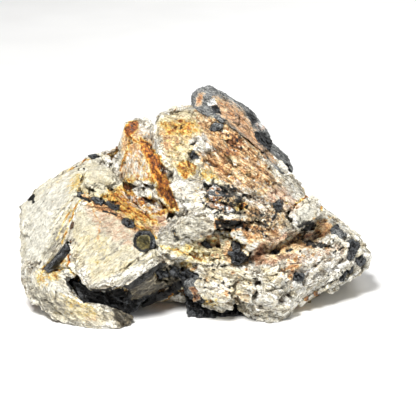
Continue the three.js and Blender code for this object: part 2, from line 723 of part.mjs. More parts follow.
const specimen = new THREE.Group();
const rough = roughAlbite();
const surface = new THREE.Mesh(geometryOf(rough), ALBITE_FINISH);
const sockets = joined(Object.values(schorlSolids(surface, SOCKET_GAP)));
specimen.add(piece("albite_matrix", largestBody(rough.subtract(sockets)), ALBITE_FINISH));
for (const [name, solid] of Object.entries(schorlSolids(surface, 0))) {
  specimen.add(piece(name, largestBody(solid.subtract(floorBox())), SCHORL_FINISH));
}

export default specimen;
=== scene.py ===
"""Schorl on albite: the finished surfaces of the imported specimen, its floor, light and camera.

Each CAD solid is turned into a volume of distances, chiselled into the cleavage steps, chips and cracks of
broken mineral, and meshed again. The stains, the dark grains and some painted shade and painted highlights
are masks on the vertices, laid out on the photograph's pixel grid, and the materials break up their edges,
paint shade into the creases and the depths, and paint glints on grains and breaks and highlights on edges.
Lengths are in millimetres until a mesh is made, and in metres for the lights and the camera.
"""

import math
from types import SimpleNamespace

import bpy
import numpy as np
import openvdb as vdb
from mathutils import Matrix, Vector
from mathutils.kdtree import KDTree


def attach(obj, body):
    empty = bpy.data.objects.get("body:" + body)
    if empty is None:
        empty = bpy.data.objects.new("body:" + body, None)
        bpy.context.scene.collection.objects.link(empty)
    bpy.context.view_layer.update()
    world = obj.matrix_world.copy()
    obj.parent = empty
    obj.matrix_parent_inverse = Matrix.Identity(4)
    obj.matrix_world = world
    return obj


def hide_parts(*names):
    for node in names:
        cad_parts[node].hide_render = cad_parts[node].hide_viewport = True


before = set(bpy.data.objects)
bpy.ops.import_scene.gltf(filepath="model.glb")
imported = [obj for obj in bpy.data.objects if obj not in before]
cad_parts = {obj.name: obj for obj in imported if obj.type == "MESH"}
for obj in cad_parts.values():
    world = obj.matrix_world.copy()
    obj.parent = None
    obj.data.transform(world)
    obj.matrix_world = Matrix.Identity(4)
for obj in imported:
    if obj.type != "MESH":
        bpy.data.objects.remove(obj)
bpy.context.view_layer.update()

MM = 1000.0  # millimetres in a metre
SEED = 11
rng = np.random.default_rng(SEED)

# ---------------------------------------------------------------- the photograph's pixel grid

WIDE, HIGH = 416, 410  # the photograph's size
GRID = 120 / 347  # mm that a pixel spans at depth 0
CENTRE_U, CENTRE_V = 208, 205  # the photograph's middle pixel
LEAN = math.radians(17)  # the camera's height above the horizon
VIEW_DISTANCE = 620.0
TOWARDS = np.array([0.0, -math.cos(LEAN), math.sin(LEAN)])  # from the rock towards the camera
UPWARDS = np.array([0.0, math.sin(LEAN), math.cos(LEAN)])  # up in the photograph
MIDDLE_U = 194.5  # the pixel column over the rock's middle
FOOT_V, FOOT_DEPTH = 326, 21  # the rock's lowest point, which stands on the floor
SHIFT = (-0.4, -5.9)  # from the middle column at depth 0 to the frame's origin


def grid_origin():
    foot_up = (CENTRE_V - FOOT_V) * GRID * (1 - FOOT_DEPTH / VIEW_DISTANCE)
    drop = -(foot_up * math.cos(LEAN) + FOOT_DEPTH * math.sin(LEAN))
    return np.array([(CENTRE_U - MIDDLE_U) * GRID + SHIFT[0], SHIFT[1], drop])


ORIGIN = grid_origin()


def pixel_of(points):
    """The photograph's column and row of each point, and its depth towards the camera."""
    rel = points - ORIGIN
    depth = rel @ TOWARDS
    scale = GRID * (1 - depth / VIEW_DISTANCE)
    return CENTRE_U + rel[:, 0] / scale, CENTRE_V - (rel @ UPWARDS) / scale, depth


def place_of(u, v, depth):
    """The point at a pixel and a depth."""
    scale = GRID * (1 - depth / VIEW_DISTANCE)
    across = np.array([(u - CENTRE_U) * scale, 0, 0])
    return ORIGIN + across + UPWARDS * (CENTRE_V - v) * scale + TOWARDS * depth


def run_direction(run):
    """The direction in space of a step right and down the photograph."""
    direction = run[0] * np.array([1.0, 0, 0]) - run[1] * UPWARDS
    return direction / np.linalg.norm(direction)


def inside(u, v, outline):
    """Which pixels lie inside an outline."""
    hit = np.zeros(len(u), bool)
    for (u0, v0), (u1, v1) in zip(outline, outline[1:] + outline[:1]):
        crosses = (v0 > v) != (v1 > v)
        span = (v1 - v0) or 1e-9
        hit ^= crosses & (u < (u1 - u0) * (v - v0) / span + u0)
    return hit


def line_distance(u, v, line):
    """The distance in pixels from each pixel to a line of several points."""
    best = np.full(len(u), np.inf)
    for (u0, v0), (u1, v1) in zip(line[:-1], line[1:]):
        du, dv = u1 - u0, v1 - v0
        t = np.clip(((u - u0) * du + (v - v0) * dv) / (du * du + dv * dv), 0, 1)
        best = np.minimum(best, np.hypot(u - u0 - t * du, v - v0 - t * dv))
    return best


def outline_depth(u, v, outline):
    """How far inside an outline each pixel is, below zero outside it."""
    away = line_distance(u, v, outline + outline[:1])
    return np.where(inside(u, v, outline), away, -away)


def pixels_inside(outline):
    """The whole pixels inside an outline."""
    low, high = np.floor(np.min(outline, axis=0)), np.ceil(np.max(outline, axis=0))
    u, v = (a.ravel() for a in np.meshgrid(np.arange(low[0], high[0]), np.arange(low[1], high[1])))
    hit = inside(u, v, outline)
    return u[hit], v[hit]


class Front:
    """How near the camera a surface comes at each pixel."""

    def __init__(self, points):
        u, v, depth = pixel_of(points)
        column, row = np.round(u).astype(int), np.round(v).astype(int)
        seen = (column >= 0) & (column < WIDE) & (row >= 0) & (row < HIGH)
        near = np.full((HIGH + 2, WIDE + 2), -VIEW_DISTANCE)
        np.maximum.at(near, (row[seen] + 1, column[seen] + 1), depth[seen])
        shifted = [near[a:a + HIGH, b:b + WIDE] for a in range(3) for b in range(3)]
        self.depth = np.maximum.reduce(shifted)

    def at(self, u, v):
        column = np.clip(np.round(u).astype(int), 0, WIDE - 1)
        row = np.clip(np.round(v).astype(int), 0, HIGH - 1)
        return self.depth[row, column]

    def place(self, spot):
        """The point of the surface at a pixel."""
        return place_of(*spot, self.at(spot[:1], spot[1:])[0])


# ---------------------------------------------------------------- noise

LATTICE = 32
lattice_values = rng.random((LATTICE, LATTICE, LATTICE)).astype(np.float32) * 2 - 1
SHIFT_CELLS = 7.31  # cells of the lattice between one noise and the next
FIRST_CELL = 100  # keeps the places above zero
LAYERED_SPAN = 1.6  # what the layers of a layered noise add up to


def smooth_step(low, high, x):
    t = np.clip((x - low) / (high - low), 0, 1)
    return t * t * (3 - 2 * t)


def cell_corners(part):
    """Each corner of a grid's cell, and its share at places part of the way through the cell."""
    rest = 1 - part
    for corner in np.ndindex(2, 2, 2):
        x, y, z = ((part if far else rest)[:, axis] for axis, far in enumerate(corner))
        yield corner, x * y * z


# Shifts that keep the noises apart.
SHIFTS = {
    "warp": 3, "fibres": 5, "ripples": 6, "grit": 8, "broad bends": 20, "fine bends": 24, "spreads": 40,
    "borders": 60, "dark grounds": 60, "veins": 64, "vein grounds": 68, "ribs": 70, "threads": 71,
    "crystal bends": 80, "film": 84, "dust": 85, "cluster": 86,
}


def noise(points, size, shift=0.0):
    """Smooth noise from -1 to 1 at each point, with features of about size."""
    places = (points / size + shift * SHIFT_CELLS + FIRST_CELL).astype(np.float32)
    cell = np.floor(places).astype(np.int32)
    part = places - cell
    total = np.zeros(len(points), np.float32)
    for corner, share in cell_corners(part * part * (3 - 2 * part)):
        i, j, k = ((cell + corner) % LATTICE).T
        total += share * lattice_values[i, j, k]
    return total


def layered(points, size, shift=0.0, layers=3):
    """Noise of several sizes, each half the last, from about -1 to 1."""
    total = np.zeros(len(points), np.float32)
    for i in range(layers):
        total += noise(points, size / 2**i, shift + i) / 2**i
    return total / LAYERED_SPAN


def wandering(points, size, shift, reach):
    """How far each point's pixel wanders right and down, so that an outline isn't clean."""
    return [layered(points, size, shift + i) * reach for i in range(2)]


# ---------------------------------------------------------------- meshes


def mesh_object(name, points, faces):
    """An object from vertices in millimetres and polygons."""
    mesh = bpy.data.meshes.new(name)
    mesh.from_pydata((points / MM).tolist(), [], faces.tolist())
    mesh.update()
    made = bpy.data.objects.new(name, mesh)
    bpy.context.scene.collection.objects.link(made)
    return made


def values_of(rows, name, width, kind=np.float32):
    """A property of each vertex, edge or triangle, in rows of width values."""
    values = np.empty(width * len(rows), kind)
    rows.foreach_get(name, values)
    return values.reshape(-1, width)


def vertices_of(made):
    return values_of(made.data.vertices, "co", 3) * MM


def normals_of(made):
    return values_of(made.data.vertices, "normal", 3)


def edges_of(made):
    return values_of(made.data.edges, "vertices", 2, np.int32)


def triangles_of(made):
    made.data.calc_loop_triangles()
    return values_of(made.data.loop_triangles, "vertices", 3, np.int32)


def set_vertices(made, points):
    made.data.vertices.foreach_set("co", (points / MM).astype(np.float32).ravel())
    made.data.update()


def set_attribute(made, name, values):
    attribute = made.data.attributes.new(name, "FLOAT_VECTOR", "POINT")
    attribute.data.foreach_set("vector", values.astype(np.float32).ravel())


def above_floor(points):
    points[:, 2] = np.maximum(points[:, 2], 0)
    return points


THIN_FACTOR = 3e-5  # how much a vertex's weight counts against the shape it carries
THIN_LEVELS = 10  # steps of weight


def thin_out(made, triangles, weights=None):
    """Collapses a mesh to about a number of triangles. Vertices of a high weight keep most detail."""
    modifier = made.modifiers.new("thin", "DECIMATE")
    modifier.ratio = min(1.0, triangles / len(triangles_of(made)))
    if weights is not None:
        group = made.vertex_groups.new(name="thin")
        levels = np.round(weights * THIN_LEVELS).astype(int)
        for level in range(1, THIN_LEVELS):
            group.add(np.flatnonzero(levels == level).tolist(), level / THIN_LEVELS, "REPLACE")
        modifier.vertex_group = "thin"
        modifier.invert_vertex_group = True
        modifier.vertex_group_factor = THIN_FACTOR
    evaluated = made.evaluated_get(bpy.context.evaluated_depsgraph_get())
    mesh = bpy.data.meshes.new_from_object(evaluated)
    made.modifiers.clear()
    made.vertex_groups.clear()
    old = made.data
    made.data = mesh
    bpy.data.meshes.remove(old)
    set_vertices(made, above_floor(vertices_of(made)))


def neighbour_mean(values, edges):
    """The mean of the values of each vertex's neighbours."""
    count = np.bincount(edges.ravel(), minlength=len(values))
    total = np.bincount(edges[:, 0], values[edges[:, 1]], len(values))
    total += np.bincount(edges[:, 1], values[edges[:, 0]], len(values))
    return total / count


# ---------------------------------------------------------------- volumes of distances

BAND = 8  # voxels of distance kept on each side of a surface
PAD = 12  # voxels of room round a solid
FLATTEST = 0.2  # slopes under this many voxels a voxel give no normal


class Volume:
    """Distances to a surface on a regular grid, below zero inside."""

    def __init__(self, values, corner, voxel):
        self.values = values
        self.corner = corner
        self.voxel = voxel

    def surface(self):
        """Points on the surface, about one a voxel, and their outward normals."""
        near = np.argwhere(np.abs(self.values) < 0.5 * self.voxel)
        near = near[((near > 1) & (near < np.array(self.values.shape) - 2)).all(axis=1)]
        i, j, k = near.T
        v = self.values
        slope = np.stack([v[i + 1, j, k] - v[i - 1, j, k], v[i, j + 1, k] - v[i, j - 1, k],
                          v[i, j, k + 1] - v[i, j, k - 1]], axis=1)
        length = np.linalg.norm(slope, axis=1)
        keep = length > FLATTEST * self.voxel
        return self.corner + near[keep] * self.voxel, slope[keep] / length[keep, None]

    def chisel(self, centre, axes, half, cut):
        """Cuts a box away, or adds one. The rows of axes are its directions, and half its half sizes."""
        reach = np.abs(axes).T @ half + self.voxel
        low = np.floor((centre - reach - self.corner) / self.voxel).astype(int)
        high = np.ceil((centre + reach - self.corner) / self.voxel).astype(int) + 1
        low, high = np.maximum(low, 0), np.minimum(high, self.values.shape)
        if (high <= low).any():
            return
        part = self.values[low[0]:high[0], low[1]:high[1], low[2]:high[2]]
        offsets = (np.arange(low[a], high[a]) * self.voxel + self.corner[a] - centre[a] for a in range(3))
        x, y, z = np.ix_(*offsets)
        sides = [np.abs(axis[0] * x + axis[1] * y + axis[2] * z) - size for axis, size in zip(axes, half)]
        box = np.maximum.reduce(sides)
        if cut:
            np.maximum(part, -box, out=part)
        else:
            np.minimum(part, box, out=part)

    def cells_round(self, outline, low, high):
        """The values between two depths that an outline spans, and their places on the pixel grid."""
        corners = [place_of(u, v, depth) for u, v in outline for depth in (low, high)]
        first = ((np.min(corners, axis=0) - self.corner) / self.voxel).astype(int) - 1
        last = ((np.max(corners, axis=0) - self.corner) / self.voxel).astype(int) + 2
        first, last = np.maximum(first, 0), np.minimum(last, self.values.shape)
        steps = (np.arange(first[a], last[a]) for a in range(3))
        index = np.stack(np.meshgrid(*steps, indexing="ij"), axis=-1)
        part = self.values[first[0]:last[0], first[1]:last[1], first[2]:last[2]]
        return part, *pixel_of(index.reshape(-1, 3) * self.voxel + self.corner)

    def at(self, points, values=None):
        """The distances, or other values on the grid, at points between the grid's places."""
        values = self.values if values is None else values
        places = (points - self.corner) / self.voxel
        cell = np.clip(np.floor(places).astype(int), 0, np.array(values.shape) - 2)
        total = np.zeros(len(points))
        for corner, share in cell_corners(np.clip(places - cell, 0, 1)):
            i, j, k = (cell + corner).T
            total += share * values[i, j, k]
        return total

    def mesh(self):
        """The surface as vertices and quads."""
        grid = vdb.FloatGrid(BAND * self.voxel)
        grid.copyFromArray(self.values)
        grid.transform = vdb.createLinearTransform(voxelSize=self.voxel)
        points, quads = grid.convertToQuads()
        return points + self.corner, quads


def nodes_mesh(nodes):
    """The vertices and triangles of some CAD nodes together."""
    places, corners, count = [], [], 0
    for name in nodes:
        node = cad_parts[name]
        places.append(vertices_of(node))
        corners.append(triangles_of(node) + count)
        count += len(places[-1])
    return np.concatenate(places), np.concatenate(corners)


def volume_of(nodes, voxel, like=None):
    """The distances to the surface of some CAD nodes, on a grid round them or on another volume's."""
    places, triangles = nodes_mesh(nodes)
    if like is None:
        corner = places.min(axis=0) - PAD * voxel
        shape = np.ceil((places.max(axis=0) - corner) / voxel).astype(int) + PAD
    else:
        corner, shape = like.corner, like.values.shape
    grid = vdb.FloatGrid.createLevelSetFromPolygons(
        (places - corner).astype(np.float32), triangles=triangles.astype(np.uint32),
        transform=vdb.createLinearTransform(voxelSize=voxel), halfWidth=BAND,
    )
    values = np.zeros(shape, np.float32)
    grid.copyToArray(values)
    return Volume(values, corner, voxel)


def blurred(values, reach):
    """The mean of values over a cube of 2 reach + 1 voxels."""
    width = 2 * reach + 1
    for axis in range(3):
        sums = np.cumsum(values, axis=axis, dtype=np.float64)
        sums = np.concatenate([np.zeros_like(sums.take([0], axis)), sums], axis=axis)
        count = sums.shape[axis] - width
        means = (sums.take(range(width, width + count), axis) - sums.take(range(count), axis)) / width
        middle = [slice(None)] * 3
        middle[axis] = slice(reach, reach + count)
        values = values.copy()
        values[tuple(middle)] = means
    return values


# ---------------------------------------------------------------- chips and cleavage planes

CLEAVAGE = np.array([[0.25, -0.86, 0.44], [-0.62, -0.55, 0.56], [0.55, 0.2, 0.81], [-0.8, 0.35, 0.48],
                     [0.3, 0.9, 0.3]])
CLEAVAGE /= np.linalg.norm(CLEAVAGE, axis=1)[:, None]

# How each part of the front breaks: which way its chips run (right, down), how much longer than wide they
# are, how strong the relief is, and its outline.
REGIONS = {
    "cream slab": ((1, -0.8), 2.0, 0.22, [
        (72, 212), (80, 204), (110, 212), (136, 226), (150, 244), (160, 258), (112, 284), (92, 288),
        (74, 266), (66, 238)]),
    "slab foot": ((1, -0.5), 2.0, 0.6, [(92, 288), (160, 252), (170, 262), (140, 286), (108, 298)]),
    "left bank": ((1, -0.9), 3.0, 0.5, [
        (18, 270), (20, 200), (60, 168), (92, 158), (112, 165), (124, 190), (84, 200), (66, 240),
        (50, 268)]),
    "lobe": ((1, 0.5), 3.0, 0.8, [
        (26, 268), (60, 268), (90, 300), (132, 318), (128, 330), (60, 322), (30, 296)]),
    "wedge": ((0.3, 1), 1.8, 0.9, [(114, 184), (122, 122), (160, 118), (160, 160), (176, 212), (150, 192)]),
    "rust valley": ((1, 0.7), 1.5, 1.0, [
        (84, 186), (120, 182), (160, 190), (178, 214), (152, 244), (112, 208)]),
    "pale face": ((1, 0.6), 1.4, 0.95, [
        (150, 130), (160, 112), (206, 108), (208, 140), (200, 180), (170, 196)]),
    "white block": ((1, -0.2), 1.3, 0.9, [
        (164, 190), (178, 178), (208, 182), (212, 200), (200, 214), (182, 214)]),
    "rough face": ((1, 0.75), 3.2, 1.2, [
        (196, 112), (222, 120), (262, 156), (300, 184), (312, 208), (296, 224), (240, 214), (214, 208),
        (202, 180), (207, 150)]),
    "ledges": ((1, 0.25), 2.6, 1.3, [
        (150, 244), (180, 214), (240, 214), (300, 222), (290, 240), (250, 268), (160, 262)]),
    "right plates": ((1, -0.45), 3.4, 1.1, [
        (244, 262), (300, 224), (336, 220), (370, 256), (350, 280), (290, 304), (250, 300)]),
    "lower middle": ((1, 0.3), 2.0, 1.2, [
        (160, 262), (250, 264), (290, 300), (286, 322), (240, 322), (180, 300)]),
}
ELSEWHERE = ((1, -0.35), 2.2, 0.85)
BORDER_NOISE, BORDER_REACH = 3.0, 5.0  # mm across a border's bends, and pixels that it wanders

CHIPS = {6.0: 0.35, 3.4: 0.35}  # half the length of each size, and the share of the surface it covers
CHIP_DEPTH = 0.075  # a chip's depth, as a share of half its length
CHIP_SCALES = (0.6, 1.4)  # how much smaller or larger than its size a chip may be
CHIP_PULL = 0.2  # how far a chip's floor turns from the surface towards a cleavage plane
CHIP_TILT = 0.11  # how far it turns at random
RUN_JITTER = 0.25  # how far a chip turns from its run
PLATE_SHARE = 0.3  # the share of chips that are added plates
PLATE_THICKNESS = 2.5  # of a plate, as a multiple of its height
CHIP_CLEARANCE = 0.5  # how far above its floor a chip clears the rock


def region_values(points, towards_camera):
    """The run direction, stretch and relief of the chips at each point."""
    u, v, _ = pixel_of(points)
    wander_u, wander_v = wandering(points, BORDER_NOISE, SHIFTS["borders"], BORDER_REACH)
    run = np.tile(run_direction(ELSEWHERE[0]), (len(points), 1))
    stretch, relief = (np.full(len(points), value) for value in ELSEWHERE[1:])
    for way, longer, strength, outline in REGIONS.values():
        here = inside(u + wander_u, v + wander_v, outline) & towards_camera
        run[here], stretch[here], relief[here] = run_direction(way), longer, strength
    return run, stretch, relief


def unit(rows):
    return rows / np.linalg.norm(rows, axis=1)[:, None]


def nearest_cleavage(normals):
    """The cleavage plane that each surface normal is nearest to."""
    match = normals @ CLEAVAGE.T
    best = np.abs(match).argmax(axis=1)
    return CLEAVAGE[best] * np.sign(match[np.arange(len(best)), best])[:, None]


def chip_frames(normals, run, relief):
    """The axes of each chip: along its run, across it, and out of its floor."""
    turn = nearest_cleavage(normals) * CHIP_PULL + rng.normal(0, CHIP_TILT, normals.shape)
    out = unit(normals + turn * np.minimum(relief, 1)[:, None])
    jitter = run + rng.normal(0, RUN_JITTER, run.shape)
    along = unit(jitter - out * (jitter * out).sum(axis=1)[:, None])
    return np.stack([along, np.cross(out, along), out], axis=1)


def chip_away(volume, half_length, cover, breaks):
    """Breaks chips and plates of one size out of a surface. breaks gives their run, stretch and relief."""
    points, normals = volume.surface()
    run, stretch, relief = breaks(points, normals @ TOWARDS > 0)
    half_width = half_length / stretch
    chance = cover * volume.voxel**2 / (4 * half_length * half_width)
    chosen = rng.random(len(points)) < chance
    points, width, strength = points[chosen], half_width[chosen], relief[chosen]
    frames = chip_frames(normals[chosen], run[chosen], strength)
    scale = rng.uniform(*CHIP_SCALES, len(points))
    plate = rng.random(len(points)) < PLATE_SHARE
    for i in range(len(points)):
        depth = CHIP_DEPTH * half_length * strength[i] * scale[i]
        thick = PLATE_THICKNESS * depth if plate[i] else depth + CHIP_CLEARANCE
        rise = depth - thick if plate[i] else thick - depth
        half = np.array([half_length * scale[i], width[i] * scale[i], thick])
        volume.chisel(points[i] + frames[i, 2] * rise, frames[i], half, cut=not plate[i])


# The cleavage planes of each scale: their spacing, how far they turn from the surface towards a cleavage
# plane, how far they turn at random, and how far they may move the surface.
ALBITE_PLANES = [(5.0, 0.34, 0.10, 0.75), (2.4, 0.30, 0.13, 0.42), (1.3, 0.28, 0.16, 0.24)]
SCHORL_PLANES = [(2.6, 0.35, 0.10, 0.6), (1.2, 0.3, 0.14, 0.35)]
NEIGHBOURS = 6  # planes tried for each vertex
STEEPEST = 0.4  # the least that a plane may face a vertex's normal


def plane_owners(points, chosen, run, stretch):
    """Which chosen vertex is nearest to each point, where a length along its run counts for less."""
    tree = KDTree(len(chosen))
    for i, index in enumerate(chosen):
        tree.insert(points[index], i)
    tree.balance()
    near = np.array([[hit[1] for hit in tree.find_n(point, NEIGHBOURS)] for point in points])
    nearest, owner = np.full(len(points), np.inf), np.zeros(len(points), int)
    for seed in near.T:
        index = chosen[seed]
        gap = points - points[index]
        along = (gap * run[index]).sum(axis=1)
        away = (gap**2).sum(axis=1) - along**2 * (1 - 1 / stretch[index]**2)
        closer = away < nearest
        nearest[closer], owner[closer] = away[closer], seed[closer]
    return owner


def cleave(points, normals, voxel, planes, breaks):
    """How far each vertex moves along its normal to lie on the cleavage plane that owns it."""
    spacing, pull, turn, limit = planes
    run, stretch, relief = breaks(points, normals @ TOWARDS > 0)
    chosen = np.flatnonzero(rng.random(len(points)) < voxel**2 / spacing**2)
    if len(chosen) < NEIGHBOURS:
        return np.zeros(len(points))
    facing = normals[chosen] * (1 - pull) + nearest_cleavage(normals[chosen]) * pull
    facing = unit(facing + rng.normal(0, turn, (len(chosen), 3)))
    owner = plane_owners(points, chosen, run, stretch)
    out = facing[owner]
    gap = points - points[chosen[owner]]
    height = -(gap * out).sum(axis=1) / np.maximum((normals * out).sum(axis=1), STEEPEST)
    return np.clip(height, -limit, limit) * relief


def cleave_all(made, voxel, scales, breaks, free=1.0):
    """Moves a mesh's vertices onto cleavage planes, large ones first, with their steps eased."""
    normals, edges = normals_of(made), edges_of(made)
    for planes in scales:
        points = vertices_of(made)
        height = cleave(points, normals, voxel, planes, breaks)
        eased = 0.5 * height + 0.5 * neighbour_mean(height, edges)
        set_vertices(made, points + normals * (eased * free)[:, None])


# ---------------------------------------------------------------- facets, cracks and hollows

# The flat breaks that can be told apart on the front: how far each turns right and down from the rock behind
# it, in millimetres of depth a pixel, how far it stands out, and its outline.
FACETS = {
    "right mass": (-0.02, 0.04, 0.6, [
        (258, 264), (300, 252), (346, 244), (352, 262), (318, 280), (298, 288), (262, 287)]),
    "foot mass": (0.0, 0.03, 0.6, [
        (246, 290), (262, 287), (300, 286), (322, 278), (318, 292), (300, 303), (286, 313), (268, 306),
        (252, 304)]),
    "lower mass": (0.0, 0.05, 0.4, [
        (188, 264), (214, 262), (246, 266), (258, 280), (246, 294), (214, 298), (198, 284)]),
    "ledge mass": (0.0, 0.03, 0.2, [
        (164, 246), (186, 236), (224, 232), (246, 240), (244, 256), (214, 258), (186, 264)]),
    "slab lip": (0, 0.04, -0.5, [
        (104, 277), (126, 269), (150, 251), (162, 258), (150, 268), (130, 281), (108, 288)]),
    "slab underside": (-0.03, -0.12, -0.2, [
        (124, 292), (150, 274), (166, 264), (178, 280), (152, 298), (130, 308)]),
    "bank high": (0.04, 0.03, 0, [(22, 206), (44, 184), (60, 178), (46, 206), (30, 236), (22, 232)]),
    "bank middle": (0, 0.05, 0.2, [(46, 206), (60, 178), (84, 168), (78, 190), (62, 214), (48, 236)]),
    "bank low": (0.03, -0.03, 0, [(30, 236), (46, 208), (50, 236), (44, 262), (32, 262)]),
    "bank near slab": (-0.08, -0.02, -0.3, [
        (50, 236), (66, 208), (72, 218), (66, 240), (54, 264), (44, 262)]),
    "bank chip high": (0, -0.12, 0.3, [(23, 221), (35, 223), (32, 230), (24, 230)]),
    "bank chip low": (0, -0.1, 0.3, [(26, 246), (42, 252), (38, 266), (28, 262)]),
    "bank top": (0, 0.05, 0, [(84, 162), (104, 160), (116, 180), (104, 196), (86, 184)]),
    "lobe left": (0.06, 0.02, 0, [(30, 272), (52, 274), (64, 290), (50, 300), (34, 292)]),
    "lobe right": (-0.02, 0.04, 0.2, [(54, 288), (72, 292), (104, 308), (98, 322), (70, 318), (54, 306)]),
    "wedge left": (0.1, 0, 0, [(118, 182), (124, 150), (132, 144), (138, 160), (134, 184)]),
    "wedge right": (-0.03, 0.02, 0.3, [(132, 144), (146, 146), (158, 176), (150, 184), (136, 182)]),
    "wedge top": (0, 0.05, 0, [(126, 124), (150, 121), (152, 136), (134, 142)]),
    "wedge strip": (-0.1, 0, 0.1, [(148, 148), (157, 158), (177, 206), (172, 212), (160, 196), (150, 170)]),
    "valley grain 1": (0.03, 0.06, 0.7, [(134, 181), (142, 178), (145, 186), (137, 190)]),
    "valley grain 2": (-0.03, 0.05, 0.6, [(144, 185), (151, 187), (150, 196), (142, 195)]),
    "valley left": (-0.04, 0.04, -0.4, [
        (88, 196), (106, 190), (130, 206), (150, 222), (132, 222), (108, 206)]),
    "valley right": (0.06, 0.05, -0.4, [(134, 198), (152, 200), (170, 212), (160, 226), (146, 214)]),
    "pale high": (0, 0.06, 0, [(160, 116), (178, 110), (192, 114), (184, 126), (164, 126)]),
    "pale right": (-0.06, 0, 0.2, [(185, 126), (200, 116), (206, 130), (196, 140), (183, 136)]),
    "pale left": (0.06, 0, 0.2, [(158, 129), (182, 129), (180, 146), (166, 152)]),
    "pale hollow": (0.06, -0.05, 0.2, [
        (166, 154), (184, 148), (190, 158), (178, 163), (175, 176), (168, 172)]),
    "amber block": (0.03, 0.03, 0.5, [
        (176, 164), (186, 160), (197, 166), (194, 176), (184, 180), (177, 172)]),
    "grey triangle": (0.1, 0, 0.5, [(190, 152), (199, 154), (194, 165), (188, 160)]),
    "white block left": (0.08, 0.03, 0.6, [(168, 185), (180, 180), (190, 184), (188, 198), (176, 200)]),
    "white block right": (-0.06, 0.05, 0.8, [(190, 184), (206, 180), (209, 194), (198, 200), (188, 198)]),
    "white block low": (0, -0.08, 0.5, [(178, 201), (196, 200), (208, 196), (204, 211), (188, 213)]),
    "tan high": (0, 0.05, 0.2, [(206, 132), (228, 138), (224, 152), (204, 149)]),
    "tan long": (-0.02, 0.06, 0, [(226, 150), (262, 164), (276, 180), (262, 184), (236, 167)]),
    "tan low": (0.02, -0.04, 0.1, [(206, 158), (236, 169), (258, 186), (250, 194), (222, 182), (206, 174)]),
    "rosy right": (-0.06, 0.06, 0.2, [(262, 186), (282, 183), (302, 205), (290, 210), (270, 204)]),
    "rosy low": (0.02, -0.04, 0.3, [(246, 196), (268, 207), (284, 222), (262, 223), (244, 212)]),
    "overhang": (0, 0.1, 0.7, [(204, 207), (222, 208), (246, 214), (252, 220), (232, 219), (214, 217)]),
    "shelf right": (0, 0.1, 0.4, [(248, 222), (280, 226), (292, 236), (270, 243), (250, 240)]),
    "white plate": (0, 0.04, 0.5, [
        (151, 233), (166, 222), (182, 214), (190, 214), (178, 232), (177, 244), (163, 246)]),
    "white lump": (-0.04, 0.02, 0.9, [
        (181, 219), (190, 214), (209, 218), (208, 230), (196, 236), (184, 232)]),
    "plate foot": (0, 0.1, 0, [
        (164, 247), (177, 245), (184, 236), (198, 240), (204, 247), (198, 256), (182, 261), (168, 256)]),
    "ledge orange": (0, -0.02, 0.4, [(206, 235), (220, 234), (221, 248), (206, 247)]),
    "white facet": (0.08, 0.0, 0.9, [
        (296, 210), (306, 204), (314, 207), (314, 217), (298, 226), (293, 226)]),
    "facet hollow": (0, -0.08, -1.0, [(294, 222), (312, 219), (314, 231), (298, 236)]),
    "rust band": (0, 0.1, -0.4, [
        (250, 256), (262, 242), (290, 235), (316, 236), (322, 244), (296, 252), (268, 262)]),
    "right plates high": (-0.02, 0.08, 0.3, [
        (268, 259), (300, 251), (340, 243), (346, 252), (310, 264), (276, 272)]),
    "right plates low": (0, -0.02, 0.1, [
        (276, 275), (312, 267), (348, 255), (352, 266), (316, 280), (282, 290)]),
    "right hem": (0, -0.16, -0.4, [(284, 292), (318, 282), (350, 268), (352, 276), (318, 292), (296, 304)]),
    "knob": (0.03, 0.03, 0.7, [
        (260, 268), (268, 262), (278, 263), (284, 271), (282, 281), (273, 287), (263, 283)]),
    "lower left": (0.02, 0.1, 0, [(188, 263), (214, 266), (209, 279), (192, 276)]),
    "lower right": (-0.02, 0.09, 0.2, [(215, 266), (242, 268), (252, 281), (231, 278), (213, 278)]),
    "bright block": (0.02, 0.05, 0.7, [(209, 279), (228, 277), (230, 292), (212, 294)]),
    "block side": (-0.08, -0.06, -0.2, [(231, 279), (250, 283), (244, 296), (232, 294)]),
    "shard": (0.08, -0.04, 0.6, [(214, 297), (234, 296), (231, 308), (222, 309)]),
    "foot top": (0, 0.25, 0.2, [(246, 290), (266, 288), (284, 290), (276, 300), (254, 302)]),
    "foot face": (0.02, -0.25, 0.4, [(252, 303), (276, 301), (288, 304), (280, 317), (258, 317)]),
    "foot left": (0.3, -0.02, 0.1, [(240, 298), (251, 303), (257, 316), (248, 316), (240, 308)]),
}
FACET_REACH = 3.0  # mm that a facet may fill or clear


def flatten(volume, front, turn_right, turn_down, stand, outline):
    """Breaks the front flat inside an outline."""
    u, v = pixels_inside(outline)
    middle_u, middle_v = u.mean(), v.mean()
    table = np.stack([np.ones(len(u)), u - middle_u, v - middle_v], axis=1)
    level, slope_u, slope_v = np.linalg.lstsq(table, front.at(u, v), rcond=None)[0]
    level, slope_u, slope_v = level + stand, slope_u + turn_right, slope_v + turn_down
    ends = [level + slope_u * (at_u - middle_u) + slope_v * (at_v - middle_v) for at_u, at_v in outline]
    part, u, v, depth = volume.cells_round(outline, min(ends) - FACET_REACH, max(ends) + FACET_REACH)
    steepness = math.hypot(1, math.hypot(slope_u, slope_v) / GRID)
    above = (depth - level - slope_u * (u - middle_u) - slope_v * (v - middle_v)) / steepness
    out = -outline_depth(u, v, outline) * GRID
    fill = np.maximum(np.maximum(out, above), -above - FACET_REACH)
    clear = np.maximum(np.maximum(out, -above), above - FACET_REACH)
    part[...] = np.maximum(np.minimum(part, fill.reshape(part.shape)), -clear.reshape(part.shape))


